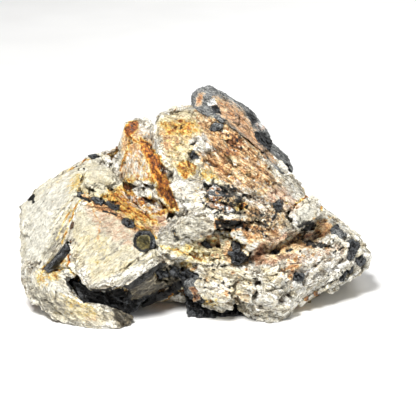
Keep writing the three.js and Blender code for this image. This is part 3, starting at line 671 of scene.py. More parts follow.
# Open cracks and shadowed seams: the width in pixels, the depth in millimetres, and the line.
CRACKS = {
    "valley floor": (1.2, 0.8, [(112, 165), (116, 174), (122, 182), (130, 189), (140, 197), (150, 204)]),
    "wedge strip": (1.2, 0.6, [(148, 150), (157, 168), (166, 188), (173, 206)]),
    "white block left": (2.0, 1.4, [(177, 200), (184, 209), (192, 217)]),
    "slab ledge": (1.6, 1.3, [(150, 250), (138, 259), (125, 268), (112, 274), (107, 276)]),
    "tan seam": (1.4, 1.2, [(202, 150), (212, 164), (226, 172), (240, 180), (252, 192)]),
    "cluster seam": (2.2, 1.8, [(204, 206), (218, 210), (232, 214), (244, 222)]),
    "under white lump": (2.0, 2.0, [(184, 236), (196, 240), (206, 237), (214, 230)]),
    "right fissure": (1.8, 1.8, [(302, 243), (312, 242), (322, 245), (331, 247)]),
    "shelf seam": (2.4, 2.0, [(252, 262), (264, 252), (280, 246), (296, 240)]),
    "plate seam 1": (1.2, 1.1, [(286, 272), (304, 266), (322, 262), (338, 258)]),
    "plate seam 2": (1.4, 1.2, [(292, 288), (310, 282), (330, 274), (344, 268)]),
    "bank seam": (1.2, 0.9, [(60, 244), (68, 228), (74, 212), (80, 203)]),
    "bank streak": (1.0, 0.7, [(30, 262), (40, 240), (52, 222), (66, 206)]),
    "pale seam": (1.2, 0.6, [(156, 132), (160, 148), (168, 160), (176, 176)]),
    "foot seam": (1.4, 1.2, [(246, 292), (256, 296), (262, 306)]),
}
CRACK_WANDER = 0.35  # pixels that a crack strays from its line
CRACK_PIECE = 0.4  # mm, half the length of each cut
CRACK_WIDTHS, CRACK_DEPTHS = (0.6, 1.4), (0.5, 1.2)  # how much a cut may be wider or deeper than stated


def cut_crack(volume, front, width, depth, line):
    """Cuts a crack into the front, following its surface."""
    ends = [np.array(end, float) for end in line]
    for start, end in zip(ends[:-1], ends[1:]):
        along = run_direction(end - start)
        axes = np.stack([along, np.cross(TOWARDS, along), TOWARDS])
        for t in np.linspace(0, 1, max(2, int(np.hypot(*(end - start))))):
            spot = start + t * (end - start) + rng.normal(0, CRACK_WANDER, 2)
            half_width = width * GRID / 2 * rng.uniform(*CRACK_WIDTHS)
            half = np.array([CRACK_PIECE, half_width, depth * rng.uniform(*CRACK_DEPTHS)])
            volume.chisel(front.place(spot), axes, half, cut=True)


# Rough hollows: the pixel, the radius in pixels, and the depth in millimetres.
HOLLOWS = {
    "brown pit": ((234, 142), 6, 1.6),
    "cavity left": ((222, 224), 6, 2.0),
    "cavity right": ((236, 226), 7, 2.2),
    "ledge hollow": ((206, 258), 6, 1.4),
    "ledge hollow right": ((219, 260), 4, 1.2),
    "plate hollow": ((304, 230), 6, 1.4),
    "tan notch": ((200, 151), 4, 1.4),
    "foot hollow": ((244, 306), 4, 2.0),
}
HOLLOW_CUTS = 14
HOLLOW_SPREAD = 0.45  # how far its cuts scatter, as a share of the radius
HOLLOW_CUT_SIZES = (0.45, 0.3)  # half a cut's length and width, as shares of the radius
HOLLOW_SCALES = (0.6, 1.1)


def dig_hollow(volume, front, middle, radius, depth):
    """Digs a hollow with boxes turned at random."""
    for _ in range(HOLLOW_CUTS):
        spot = np.array(middle) + rng.normal(0, HOLLOW_SPREAD * radius, 2)
        axes = np.linalg.qr(np.stack([TOWARDS, *rng.normal(0, 1, (2, 3))]).T)[0].T
        half = np.array([depth, *(radius * GRID * size for size in HOLLOW_CUT_SIZES)])
        volume.chisel(front.place(spot), axes, half * rng.uniform(*HOLLOW_SCALES, 3), cut=True)


# Places where a deep groove of the solid is filled with albite.
PLUGS = {
    "by the amber block": [
        (190, 164), (198, 160), (208, 166), (212, 178), (206, 186), (196, 184), (190, 178)],
    "by the foot": [(238, 286), (250, 286), (256, 294), (250, 300), (240, 296)],
}
PLUG_LEVEL = 80  # the share of a plug's pixels, in percent, that stay behind its face
PLUG_DEPTH = 7.0  # mm


def plug(volume, front, outline):
    """Fills a groove inside an outline."""
    level = np.percentile(front.at(*pixels_inside(outline)), PLUG_LEVEL)
    part, u, v, depth = volume.cells_round(outline, level - PLUG_DEPTH, level)
    beyond = np.maximum(depth - level, level - PLUG_DEPTH - depth)
    fill = np.maximum(-outline_depth(u, v, outline) * GRID, beyond)
    part[...] = np.minimum(part, fill.reshape(part.shape))


# Places cleared of albite in front of the dark crystals that show there.
UNDERCUTS = {
    "below the slab": [
        (64, 276), (74, 280), (82, 285), (92, 289), (104, 289), (118, 286), (128, 287), (132, 312),
        (120, 312), (106, 307), (84, 302), (70, 292)],
    "under the slab's corner": [
        (152, 272), (160, 266), (172, 262), (186, 268), (184, 278), (166, 282), (154, 280)],
}
UNDERCUT_MOST = 9.0  # mm cleared at most
UNDERCUT_COVER = 0.5  # mm of a crystal that the clearing may lay bare


def undercut(volume, front, seat_front, outline):
    """Clears the albite that stands in front of the crystals inside an outline."""
    high = front.at(*pixels_inside(outline)).max() + volume.voxel
    part, u, v, depth = volume.cells_round(outline, high - 2 * UNDERCUT_MOST, high)
    stop = np.maximum(seat_front.at(u, v) - UNDERCUT_COVER, front.at(u, v) - UNDERCUT_MOST)
    clear = np.maximum(-outline_depth(u, v, outline) * GRID, stop - depth)
    part[...] = np.maximum(part, -clear.reshape(part.shape))


# ---------------------------------------------------------------- the albite

ALBITE_VOXEL = 0.4
ALBITE_TRIANGLES = 500_000  # shared by three pieces
SCHORL_NODES = [name for name in sorted(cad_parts) if name.startswith("schorl")]
SOCKET_CLOSE = 0.35  # how far the albite grows to close its sockets
CORE = 1.0  # how far inside a crystal the albite starts again
PROUDEST, DEEPEST = 1.0, 2.8  # how far the chips may move the albite's surface out and in
FILL_REACH, FILL_ROUNDS = 4, 2  # voxels over which narrow grooves are filled, and how often
FILL_CLEAR = (0.3, 2.0)  # mm from a crystal over which the filling fades in
CARVE_CLEAR = (0.2, 1.2)  # mm from a crystal over which the carving fades in
FREE_CLEAR, FREE_LIFT = (0.2, 1.0), (0.1, 0.9)  # mm from a crystal and the floor, for the cleavage planes
ROUGH_CLEAR, ROUGH_LIFT = (0.3, 1.3), (0.2, 1.0)  # the same for the fibres and the grit
FACING = (-0.3, 0.3)  # how far a surface turns to the camera where the detail kept goes from least to most
LEAST_DETAIL, MORE_DETAIL = 0.1, 0.8
BACK_DEPTH = -14.0  # mm behind the origin where the back piece starts


def fill_grooves(rock, seats):
    """Fills the narrow grooves between the large forms, away from the crystals."""
    away = smooth_step(*FILL_CLEAR, seats.values)
    for _ in range(FILL_ROUNDS):
        filled = np.minimum(rock.values, blurred(rock.values, FILL_REACH))
        rock.values += (filled - rock.values) * away


def carve(rock, seats):
    """Chips, breaks and cracks the rock, and fades that out near the crystals. Returns its front."""
    base = rock.values.copy()
    for half_length, cover in CHIPS.items():
        chip_away(rock, half_length, cover, region_values)
    front = Front(rock.surface()[0])
    for facet in FACETS.values():
        flatten(rock, front, *facet)
    front = Front(rock.surface()[0])
    for crack in CRACKS.values():
        cut_crack(rock, front, *crack)
    for hollow in HOLLOWS.values():
        dig_hollow(rock, front, *hollow)
    rock.values = np.clip(rock.values, base - PROUDEST, base + DEEPEST)
    rock.values = base + (rock.values - base) * smooth_step(*CARVE_CLEAR, seats.values)
    return front


def albite_volume():
    """The albite as one volume, with its sockets filled and its surface chiselled, and the crystals."""
    rock = volume_of(["albite_matrix"], ALBITE_VOXEL)
    seats = volume_of(SCHORL_NODES, ALBITE_VOXEL, rock)
    rock.values = np.minimum(rock.values - SOCKET_CLOSE, seats.values + CORE)
    fill_grooves(rock, seats)
    front = carve(rock, seats)
    for outline in PLUGS.values():
        plug(rock, front, outline)
    seat_front = Front(seats.surface()[0])
    for outline in UNDERCUTS.values():
        undercut(rock, front, seat_front, outline)
    floor = np.arange(rock.values.shape[2]) * rock.voxel + rock.corner[2]
    rock.values = np.maximum(rock.values, -floor[None, None, :])
    return rock, seats


FIBRE_SIZE = 0.9  # mm across the fibres of the albite
RIPPLE_SIZE = 2.4 * FIBRE_SIZE
GRIT_SIZE = 0.9
FIBRE_STRETCH = 2.2  # how much longer a fibre is than a chip of its region
FIBRE_HEIGHT, RIPPLE_HEIGHT, GRIT_HEIGHT = 0.10, 0.08, 0.08
WARP_SIZE, WARP_REACH = 5, 1.2  # mm across the bends of the fibres, and how far they bend
WARP_SHARE = 0.12  # how far the surface follows the bends


def ridges(points, size, shift):
    """Noise whose zero lines stand up as sharp ridges."""
    return 1 - 2 * np.abs(noise(points, size, shift))


def roughen(points, normals, seats):
    """Moves vertices along their normals: fibres along each region's run, and grit."""
    run, stretch, relief = region_values(points, normals @ TOWARDS > 0)
    warp = [noise(points, WARP_SIZE, SHIFTS["warp"] + axis) for axis in range(3)]
    warp = np.stack(warp, axis=1) * WARP_REACH
    bent = points + warp
    along = (bent * run).sum(axis=1)[:, None] * run
    fibres = bent - along * (1 - 1 / (FIBRE_STRETCH * stretch[:, None]))
    height = FIBRE_HEIGHT * ridges(fibres, FIBRE_SIZE, SHIFTS["fibres"])
    height = height + RIPPLE_HEIGHT * ridges(fibres, RIPPLE_SIZE, SHIFTS["ripples"])
    height = height + GRIT_HEIGHT * noise(points, GRIT_SIZE, SHIFTS["grit"])
    free, lift = smooth_step(*ROUGH_CLEAR, seats.at(points)), smooth_step(*ROUGH_LIFT, points[:, 2])
    raised = points + normals * (height * relief * free * lift)[:, None]
    return raised + warp * WARP_SHARE * (free * lift)[:, None]


def build_albite():
    rock, seats = albite_volume()
    made = mesh_object("albite", *rock.mesh())
    points = vertices_of(made)
    free = smooth_step(*FREE_CLEAR, seats.at(points)) * smooth_step(*FREE_LIFT, points[:, 2])
    cleave_all(made, ALBITE_VOXEL, ALBITE_PLANES, region_values, free)
    set_vertices(made, above_floor(roughen(vertices_of(made), normals_of(made), seats)))
    facing = smooth_step(*FACING, normals_of(made) @ TOWARDS)
    thin_out(made, ALBITE_TRIANGLES, LEAST_DETAIL + MORE_DETAIL * facing)
    return made, rock, seats


def split_in_three(made):
    """Three pieces of one mesh, which meet without a gap: the front's left and right, and the back."""
    corners, points = triangles_of(made), vertices_of(made)
    u, _, depth = pixel_of(points[corners].mean(axis=1))
    back = depth < BACK_DEPTH
    middle = np.median(u[~back])
    shares = {"albite_front_left": ~back & (u < middle), "albite_front_right": ~back & (u >= middle),
              "albite_back": back}
    pieces = []
    for name, share in shares.items():
        used, faces = np.unique(corners[share], return_inverse=True)
        pieces.append((mesh_object(name, points[used], faces.reshape(-1, 3)), used))
    bpy.data.objects.remove(made)
    return pieces


# ---------------------------------------------------------------- stains

# Each layer: how far noise thins and thickens it, the strengths between which it comes in, the size of that
# noise and how far the run draws it out, and its colours from where it is thinnest to where it is thickest.
# Most layers are stains; the grey and the dark also carry painted shade, the white painted highlights, and
# the grey on the crest a painted sheen.
LAYER_COLOURS = {
    "cream": (0.5, (0.1, 0.45), 3.2, 2.0, [
        (0.2, (246, 240, 220)), (0.5, (236, 222, 184)), (0.85, (214, 192, 140))]),
    "grey": (0.7, (0.15, 0.5), 2.4, 3.0, [
        (0.2, (222, 219, 210)), (0.5, (186, 182, 170)), (0.75, (144, 139, 128)), (1.0, (88, 84, 74))]),
    "rosy": (0.7, (0.12, 0.42), 1.5, 3.0, [
        (0.2, (244, 230, 216)), (0.42, (228, 194, 170)), (0.62, (198, 152, 126)), (0.82, (150, 104, 82)),
        (1.0, (92, 62, 48))]),
    "tan": (0.75, (0.12, 0.42), 1.4, 2.5, [
        (0.2, (248, 232, 206)), (0.42, (234, 192, 146)), (0.62, (206, 146, 98)), (0.82, (152, 98, 62)),
        (1.0, (86, 56, 38))]),
    "iron": (0.75, (0.06, 0.3), 1.7, 1.6, [
        (0.12, (246, 236, 200)), (0.3, (240, 214, 134)), (0.46, (232, 170, 76)), (0.62, (208, 122, 46)),
        (0.8, (146, 76, 30)), (1.0, (72, 40, 24))]),
    "white": (1.0, (0.35, 0.6), 1.1, 1.8, [
        (0.2, (240, 238, 228)), (0.6, (250, 249, 244)), (1.0, (255, 255, 252))]),
    "olive": (0.4, (0.3, 0.5), 0.8, 1.0, [
        (0.2, (190, 180, 132)), (0.55, (140, 128, 76)), (1.0, (78, 72, 42))]),
    "dark": (0.8, (0.42, 0.58), 0.9, 1.3, [
        (0.4, (66, 66, 62)), (0.6, (34, 35, 35)), (0.9, (10, 11, 12))]),
}
LAYERS = [*LAYER_COLOURS, "calm"]  # calm is where the grain is thin

EYE, EYE_RADIUS = np.array([144, 242]), 9.5  # the pixel of the round crystal section in the slab
RING_CORNERS = 12


def ring(radius):
    """An outline round the crystal section."""
    turns = np.linspace(0, 2 * math.pi, RING_CORNERS, endpoint=False)
    return [tuple(EYE + radius * np.array([math.cos(turn), math.sin(turn)])) for turn in turns]


# Stained areas of the front, and areas of painted shade and painted light: the layer, its strength, the
# softness of its edge in pixels, and its outline.
PATCHES = {
    "slab": ("cream", 0.35, 3, [
        (70, 232), (78, 206), (110, 212), (140, 232), (160, 256), (108, 282), (92, 284), (72, 262)]),
    "slab yellow": ("iron", 0.12, 9, [(72, 236), (84, 220), (112, 236), (120, 262), (96, 272), (76, 258)]),
    "slab rim": ("white", 0.2, 3, [
        (84, 274), (106, 284), (132, 276), (150, 262), (162, 256), (162, 264), (128, 288), (104, 292),
        (88, 286)]),
    "slab rim stain": ("iron", 0.1, 4, [(118, 270), (142, 258), (160, 258), (140, 274), (120, 280)]),
    # Painted shade on the slab's downward underside.
    "slab underside": ("grey", 0.62, 5, [(122, 292), (164, 262), (176, 282), (150, 300), (126, 308)]),
    "slab underside cream": ("cream", 0.1, 5, [(118, 286), (160, 262), (170, 284), (126, 308)]),
    "left bank": ("white", 0.7, 8, [
        (22, 262), (22, 206), (44, 184), (76, 168), (70, 196), (56, 222), (44, 262)]),
    "bank cream": ("cream", 0.32, 8, [(20, 262), (22, 206), (46, 184), (80, 166), (76, 200), (56, 262)]),
    # Painted shadow in the recess under the slab.
    "below slab": ("dark", 1.0, 1.5, [
        (64, 278), (72, 281), (82, 287), (92, 289), (104, 289), (116, 286), (129, 285), (132, 296),
        (128, 314), (119, 310), (108, 306), (97, 301), (84, 303), (72, 293)]),
    "slab calm": ("calm", 0.48, 4, [
        (70, 236), (80, 206), (110, 212), (140, 232), (160, 256), (108, 282), (92, 284)]),
    "bank calm": ("calm", 0.5, 5, [
        (18, 262), (20, 200), (60, 166), (96, 156), (120, 180), (84, 196), (60, 224), (48, 262)]),
    "lobe calm": ("calm", 0.34, 5, [
        (28, 272), (60, 272), (84, 302), (126, 316), (100, 326), (56, 322), (30, 296)]),
    # Painted shade on the lobe's shaded right end.
    "lobe end": ("grey", 1.0, 2, [(112, 309), (124, 302), (138, 306), (136, 316), (128, 328), (116, 328)]),
    "lobe yellow": ("iron", 0.2, 6, [(52, 286), (72, 294), (100, 308), (98, 318), (70, 310)]),
    # Painted light on the lit upper left of the lobe.
    "lobe light": ("white", 0.4, 4, [(34, 276), (56, 280), (70, 292), (60, 300), (40, 290)]),
    "valley calm": ("calm", 0.42, 4, [
        (84, 184), (112, 172), (134, 186), (166, 200), (170, 222), (150, 236), (110, 208)]),
    "wedge calm": ("calm", 0.35, 3, [(122, 126), (150, 124), (158, 160), (150, 186), (118, 184)]),
    "pale calm": ("calm", 0.3, 5, [(156, 118), (186, 108), (206, 116), (206, 150), (184, 172), (168, 168)]),
    "block calm": ("calm", 0.3, 3, [(170, 186), (188, 180), (206, 184), (200, 212), (184, 212)]),
    "lump calm": ("calm", 0.4, 3, [(180, 222), (200, 216), (210, 226), (190, 238), (164, 246), (156, 238)]),
    "facet calm": ("calm", 0.5, 2, [(294, 212), (306, 203), (315, 207), (314, 217), (298, 227)]),
    # Painted shadow below the white facet.
    "facet edge": ("dark", 1.0, 2, [(296, 227), (314, 219), (316, 226), (304, 232)]),
    "valley pale": ("white", 0.45, 4, [
        (118, 190), (134, 194), (150, 204), (158, 214), (140, 212), (124, 200)]),
    "ledge cream": ("cream", 0.7, 5, [
        (180, 240), (214, 234), (246, 240), (240, 262), (190, 264), (170, 256)]),
    "slab grey": ("grey", 0.22, 7, [
        (72, 236), (82, 208), (110, 214), (138, 232), (150, 254), (108, 276), (92, 280)]),
    "slab tan": ("tan", 0.1, 6, [(80, 206), (108, 214), (120, 224), (110, 240), (86, 234)]),
    "lobe grey": ("grey", 0.36, 6, [
        (28, 274), (60, 278), (84, 302), (126, 316), (100, 326), (56, 322), (30, 296)]),
    "wedge tan": ("tan", 0.5, 6, [(120, 126), (150, 122), (154, 150), (150, 182), (120, 182)]),
    "pale tan": ("tan", 0.26, 6, [(154, 124), (180, 112), (206, 118), (206, 150), (190, 160), (166, 160)]),
    "pale line": ("iron", 0.14, 5, [(160, 130), (204, 124), (204, 150), (178, 166), (166, 160)]),
    "plate shade": ("grey", 0.5, 4, [
        (152, 228), (186, 214), (210, 218), (208, 236), (180, 246), (158, 246)]),
    "plate dark": ("dark", 0.4, 4, [(164, 226), (184, 222), (182, 244), (166, 242)]),
    "rough shade": ("dark", 0.5, 6, [(246, 204), (282, 204), (284, 222), (262, 240), (244, 232)]),
    "rough tan": ("tan", 0.42, 6, [(244, 204), (284, 204), (290, 226), (262, 242), (240, 232)]),
    "foot grey": ("grey", 0.35, 6, [(244, 288), (290, 286), (286, 316), (254, 318)]),
    "rim shadow": ("dark", 0.8, 1.5, [
        (118, 289), (127, 285), (140, 276), (152, 268), (164, 260), (168, 264), (154, 275), (142, 283),
        (130, 291)]),
    # Painted shadow in the band below the slab's underside.
    "slab under dark": ("dark", 1.0, 1.5, [
        (126, 303), (150, 294), (176, 282), (186, 278), (186, 290), (160, 302), (130, 314)]),
    "block shade": ("grey", 0.25, 4, [(166, 184), (186, 180), (190, 204), (180, 210), (170, 198)]),
    "cluster brown": ("tan", 0.45, 3, [(206, 190), (236, 196), (246, 208), (224, 212), (206, 206)]),
    "slab mauve": ("rosy", 0.34, 7, [(84, 204), (112, 214), (140, 232), (134, 250), (110, 240), (90, 222)]),
    # Painted shade in grey below the slab's rim.
    "below slab shade": ("grey", 1.0, 1.5, [
        (118, 289), (127, 286), (140, 277), (152, 269), (164, 262), (176, 268), (182, 284), (165, 296),
        (140, 304), (128, 306)]),
    "bank shade": ("grey", 0.62, 7, [(40, 256), (56, 224), (72, 206), (66, 238), (52, 266)]),
    "bank facet": ("grey", 0.7, 2, [(23, 221), (35, 223), (32, 229), (24, 229)]),
    "bank facet low": ("grey", 0.6, 3, [(26, 244), (42, 250), (40, 266), (28, 262)]),
    "bank yellow": ("iron", 0.22, 7, [(34, 196), (60, 176), (86, 172), (80, 190), (50, 204)]),
    "bank top": ("cream", 0.3, 6, [(84, 158), (112, 166), (122, 190), (100, 198), (82, 186)]),
    "under prism": ("iron", 0.26, 6, [(34, 272), (52, 258), (66, 262), (58, 278), (40, 290)]),
    "under prism rust": ("iron", 0.3, 3, [(54, 262), (66, 254), (68, 262), (58, 272)]),
    "lobe": ("cream", 0.5, 6, [(32, 290), (60, 292), (96, 306), (126, 318), (100, 326), (56, 320)]),
    "lobe stain": ("iron", 0.14, 7, [(66, 302), (92, 306), (100, 318), (84, 324), (62, 316)]),
    "lobe brown": ("tan", 0.32, 5, [(80, 310), (96, 312), (98, 322), (84, 324)]),
    "lobe shade": ("grey", 0.55, 6, [(28, 280), (46, 292), (62, 312), (48, 318), (34, 304)]),
    "wedge grains": ("white", 0.45, 4, [
        (128, 150), (142, 148), (150, 172), (146, 182), (122, 178), (118, 168)]),
    "wedge pink": ("rosy", 0.45, 5, [(130, 142), (144, 142), (148, 170), (128, 178)]),
    "wedge cap": ("white", 0.55, 3, [(136, 122), (152, 121), (154, 136), (146, 142), (138, 134)]),
    "wedge crown": ("iron", 0.8, 2, [(124, 128), (130, 121), (140, 121), (136, 130), (128, 138)]),
    "wedge left": ("tan", 0.7, 4, [(124, 134), (132, 136), (130, 156), (124, 156)]),
    "wedge strip": ("iron", 0.66, 3, [
        (138, 136), (148, 142), (158, 156), (168, 180), (178, 208), (172, 213), (160, 194), (148, 166),
        (140, 148)]),
    "wedge foot amber": ("iron", 0.37, 3, [(126, 174), (152, 174), (156, 182), (140, 184), (124, 182)]),
    "pale face": ("cream", 0.55, 6, [
        (152, 120), (176, 108), (204, 112), (206, 146), (196, 160), (166, 172)]),
    "pale yellow": ("iron", 0.4, 5, [(160, 122), (190, 118), (202, 132), (180, 136), (164, 134)]),
    "pale brown": ("tan", 0.6, 3, [
        (158, 132), (170, 128), (192, 134), (204, 140), (198, 146), (180, 140), (172, 152), (164, 148)]),
    "pale hollow": ("white", 0.4, 4, [(160, 150), (172, 154), (178, 176), (168, 182), (160, 168)]),
    "amber block": ("iron", 0.4, 2, FACETS["amber block"][-1]),
    "grey triangle": ("grey", 1.0, 1.5, [(190, 152), (198, 154), (194, 164), (189, 160)]),
    "white block": ("white", 0.55, 2, [
        (168, 184), (176, 178), (188, 180), (206, 178), (208, 196), (200, 212), (184, 212), (176, 202)]),
    "white block stain": ("iron", 0.2, 4, [(186, 190), (206, 184), (206, 206), (190, 210)]),
    "tan face": ("tan", 0.5, 5, [
        (190, 122), (204, 116), (232, 126), (258, 150), (280, 178), (268, 182), (240, 166), (212, 154),
        (196, 146)]),
    "tan fade": ("tan", 0.52, 9, [(196, 140), (240, 160), (284, 184), (260, 200), (216, 180), (200, 166)]),
    "tan white": ("white", 0.65, 4, [(186, 138), (204, 134), (216, 148), (206, 156), (192, 150)]),
    "tan amber": ("iron", 0.26, 6, [(196, 166), (214, 170), (220, 182), (198, 182)]),
    "rosy face": ("rosy", 0.45, 8, [
        (236, 150), (262, 162), (288, 184), (304, 208), (286, 222), (250, 208), (234, 184)]),
    "brown pit": ("tan", 0.8, 2, [(224, 134), (238, 134), (244, 146), (238, 156), (226, 152)]),
    "seam brown": ("tan", 0.72, 4, [
        (198, 152), (212, 160), (228, 170), (244, 180), (240, 184), (222, 176), (204, 164)]),
    "bright streaks": ("white", 0.45, 5, [(226, 172), (262, 190), (276, 208), (258, 214), (236, 198)]),
    "cluster ground": ("grey", 0.9, 4, [
        (210, 184), (226, 182), (246, 194), (250, 214), (224, 214), (212, 208), (203, 196)]),
    "cluster grains": ("dark", 0.55, 4, [
        (208, 186), (226, 182), (244, 194), (240, 210), (220, 208), (206, 200)]),
    "olive patch": ("iron", 0.41, 2, [(234, 203), (246, 202), (248, 209), (236, 211)]),
    "valley": ("iron", 0.42, 5, [
        (98, 196), (112, 190), (134, 200), (150, 212), (160, 226), (142, 226), (118, 212)]),
    "valley rust": ("iron", 0.48, 5, [
        (104, 192), (124, 184), (146, 194), (168, 206), (170, 216), (150, 214), (128, 206), (112, 202)]),
    "valley light": ("cream", 0.5, 6, [(74, 186), (98, 188), (108, 200), (92, 202), (76, 200)]),
    "valley grains": ("white", 0.9, 2, [(134, 180), (150, 181), (150, 196), (138, 198), (132, 190)]),
    "valley salmon": ("rosy", 0.55, 4, [
        (128, 214), (146, 218), (168, 214), (176, 212), (166, 226), (154, 238), (140, 230)]),
    "valley white": ("white", 0.55, 3, [(142, 198), (160, 200), (166, 210), (152, 212)]),
    "ridge brown": ("tan", 0.66, 3, [
        (80, 195), (96, 198), (118, 207), (140, 220), (160, 234), (154, 240), (132, 228), (108, 214),
        (84, 203)]),
    "ridge rosy": ("rosy", 0.5, 4, [(84, 198), (118, 208), (152, 232), (146, 240), (112, 218), (84, 206)]),
    "shelf cream": ("cream", 0.4, 5, [(150, 232), (180, 236), (206, 244), (196, 262), (164, 258)]),
    "white plate": ("white", 0.42, 2, [
        (152, 232), (172, 222), (186, 214), (204, 216), (210, 230), (198, 242), (180, 246), (162, 244)]),
    "ledge orange": ("tan", 0.62, 2, FACETS["ledge orange"][-1]),
    "ledge orange heart": ("iron", 0.25, 3, [(208, 238), (218, 238), (218, 246), (208, 246)]),
    "ledge yellow": ("iron", 0.18, 5, [(182, 240), (204, 248), (216, 258), (196, 262), (180, 252)]),
    "cavity": ("tan", 0.8, 2, [(214, 219), (244, 219), (246, 230), (228, 233), (214, 228)]),
    # Painted shade in the cavity.
    "cavity black": ("dark", 1.0, 2, [
        (214, 221), (226, 219), (242, 221), (241, 228), (226, 231), (216, 228)]),
    "cavity streaks": ("tan", 0.55, 4, [(238, 222), (276, 224), (280, 236), (248, 244)]),
    "rough rosy": ("rosy", 0.3, 6, [(244, 212), (280, 216), (292, 230), (256, 244), (240, 234)]),
    "crystal ground": ("tan", 0.5, 4, [(226, 240), (246, 246), (248, 264), (230, 266), (220, 256)]),
    "rust band": ("rosy", 0.8, 5, [
        (248, 258), (262, 240), (286, 234), (312, 232), (322, 244), (298, 254), (276, 262), (256, 266)]),
    "rust band deep": ("tan", 0.5, 5, [
        (262, 246), (290, 236), (316, 238), (320, 248), (296, 252), (268, 260)]),
    # Painted shade in the fissure.
    "fissure": ("dark", 0.7, 2, [(298, 238), (314, 240), (332, 245), (330, 249), (306, 247)]),
    "tip tan": ("tan", 0.6, 3, [(314, 218), (326, 218), (334, 228), (330, 236), (316, 234)]),
    "tip rust": ("tan", 0.6, 3, [(310, 228), (322, 226), (330, 234), (318, 240)]),
    "white facet": ("white", 0.7, 1.5, FACETS["white facet"][-1]),
    "white facet shade": ("grey", 0.35, 2, [(296, 216), (306, 212), (312, 214), (298, 226)]),
    # Painted shade in the hollow below the white facet.
    "facet hollow": ("dark", 0.55, 3, [(294, 221), (312, 219), (312, 232), (298, 234)]),
    "right pink": ("rosy", 0.4, 7, [
        (286, 256), (316, 248), (348, 244), (344, 262), (314, 276), (284, 284)]),
    "right tan": ("tan", 0.15, 5, [(296, 250), (324, 246), (326, 258), (306, 266)]),
    "right white": ("white", 0.6, 8, [
        (300, 258), (346, 246), (362, 258), (350, 274), (312, 286), (288, 290)]),
    "right shade": ("grey", 0.2, 6, [(296, 280), (324, 276), (338, 280), (314, 296), (290, 308)]),
    "knob": ("grey", 0.3, 4, [(259, 266), (272, 260), (284, 268), (282, 282), (268, 287), (258, 280)]),
    "knob cream": ("cream", 0.6, 4, [(262, 268), (280, 266), (280, 280), (266, 284)]),
    "lower ground": ("grey", 0.35, 8, [
        (176, 270), (214, 264), (252, 272), (244, 292), (208, 300), (182, 296)]),
    "lower cream": ("cream", 0.55, 7, [(196, 264), (244, 268), (256, 282), (236, 300), (206, 294)]),
    "lower orange": ("iron", 0.25, 3, [(176, 262), (190, 262), (192, 270), (180, 272)]),
    "bright block": ("white", 0.45, 2, FACETS["bright block"][-1]),
    "shard": ("white", 0.45, 3, [(216, 296), (234, 297), (230, 309), (214, 304)]),
    "foot stain": ("iron", 0.21, 4, [(196, 294), (222, 298), (218, 308), (202, 304)]),
    "foot block": ("white", 0.55, 6, [(250, 292), (272, 288), (288, 298), (280, 314), (256, 314)]),
    "foot shade": ("grey", 0.6, 4, [(252, 294), (268, 292), (276, 306), (262, 312)]),
    "foot sinter": ("tan", 0.3, 4, [(228, 292), (248, 290), (250, 304), (234, 306)]),
    "crest foot": ("tan", 0.5, 3, [(192, 110), (204, 110), (210, 118), (198, 120)]),
    "eye calm": ("calm", 0.4, 2, ring(EYE_RADIUS)),
    "eye core": ("olive", 0.9, 1, ring(0.9 * EYE_RADIUS)),
}
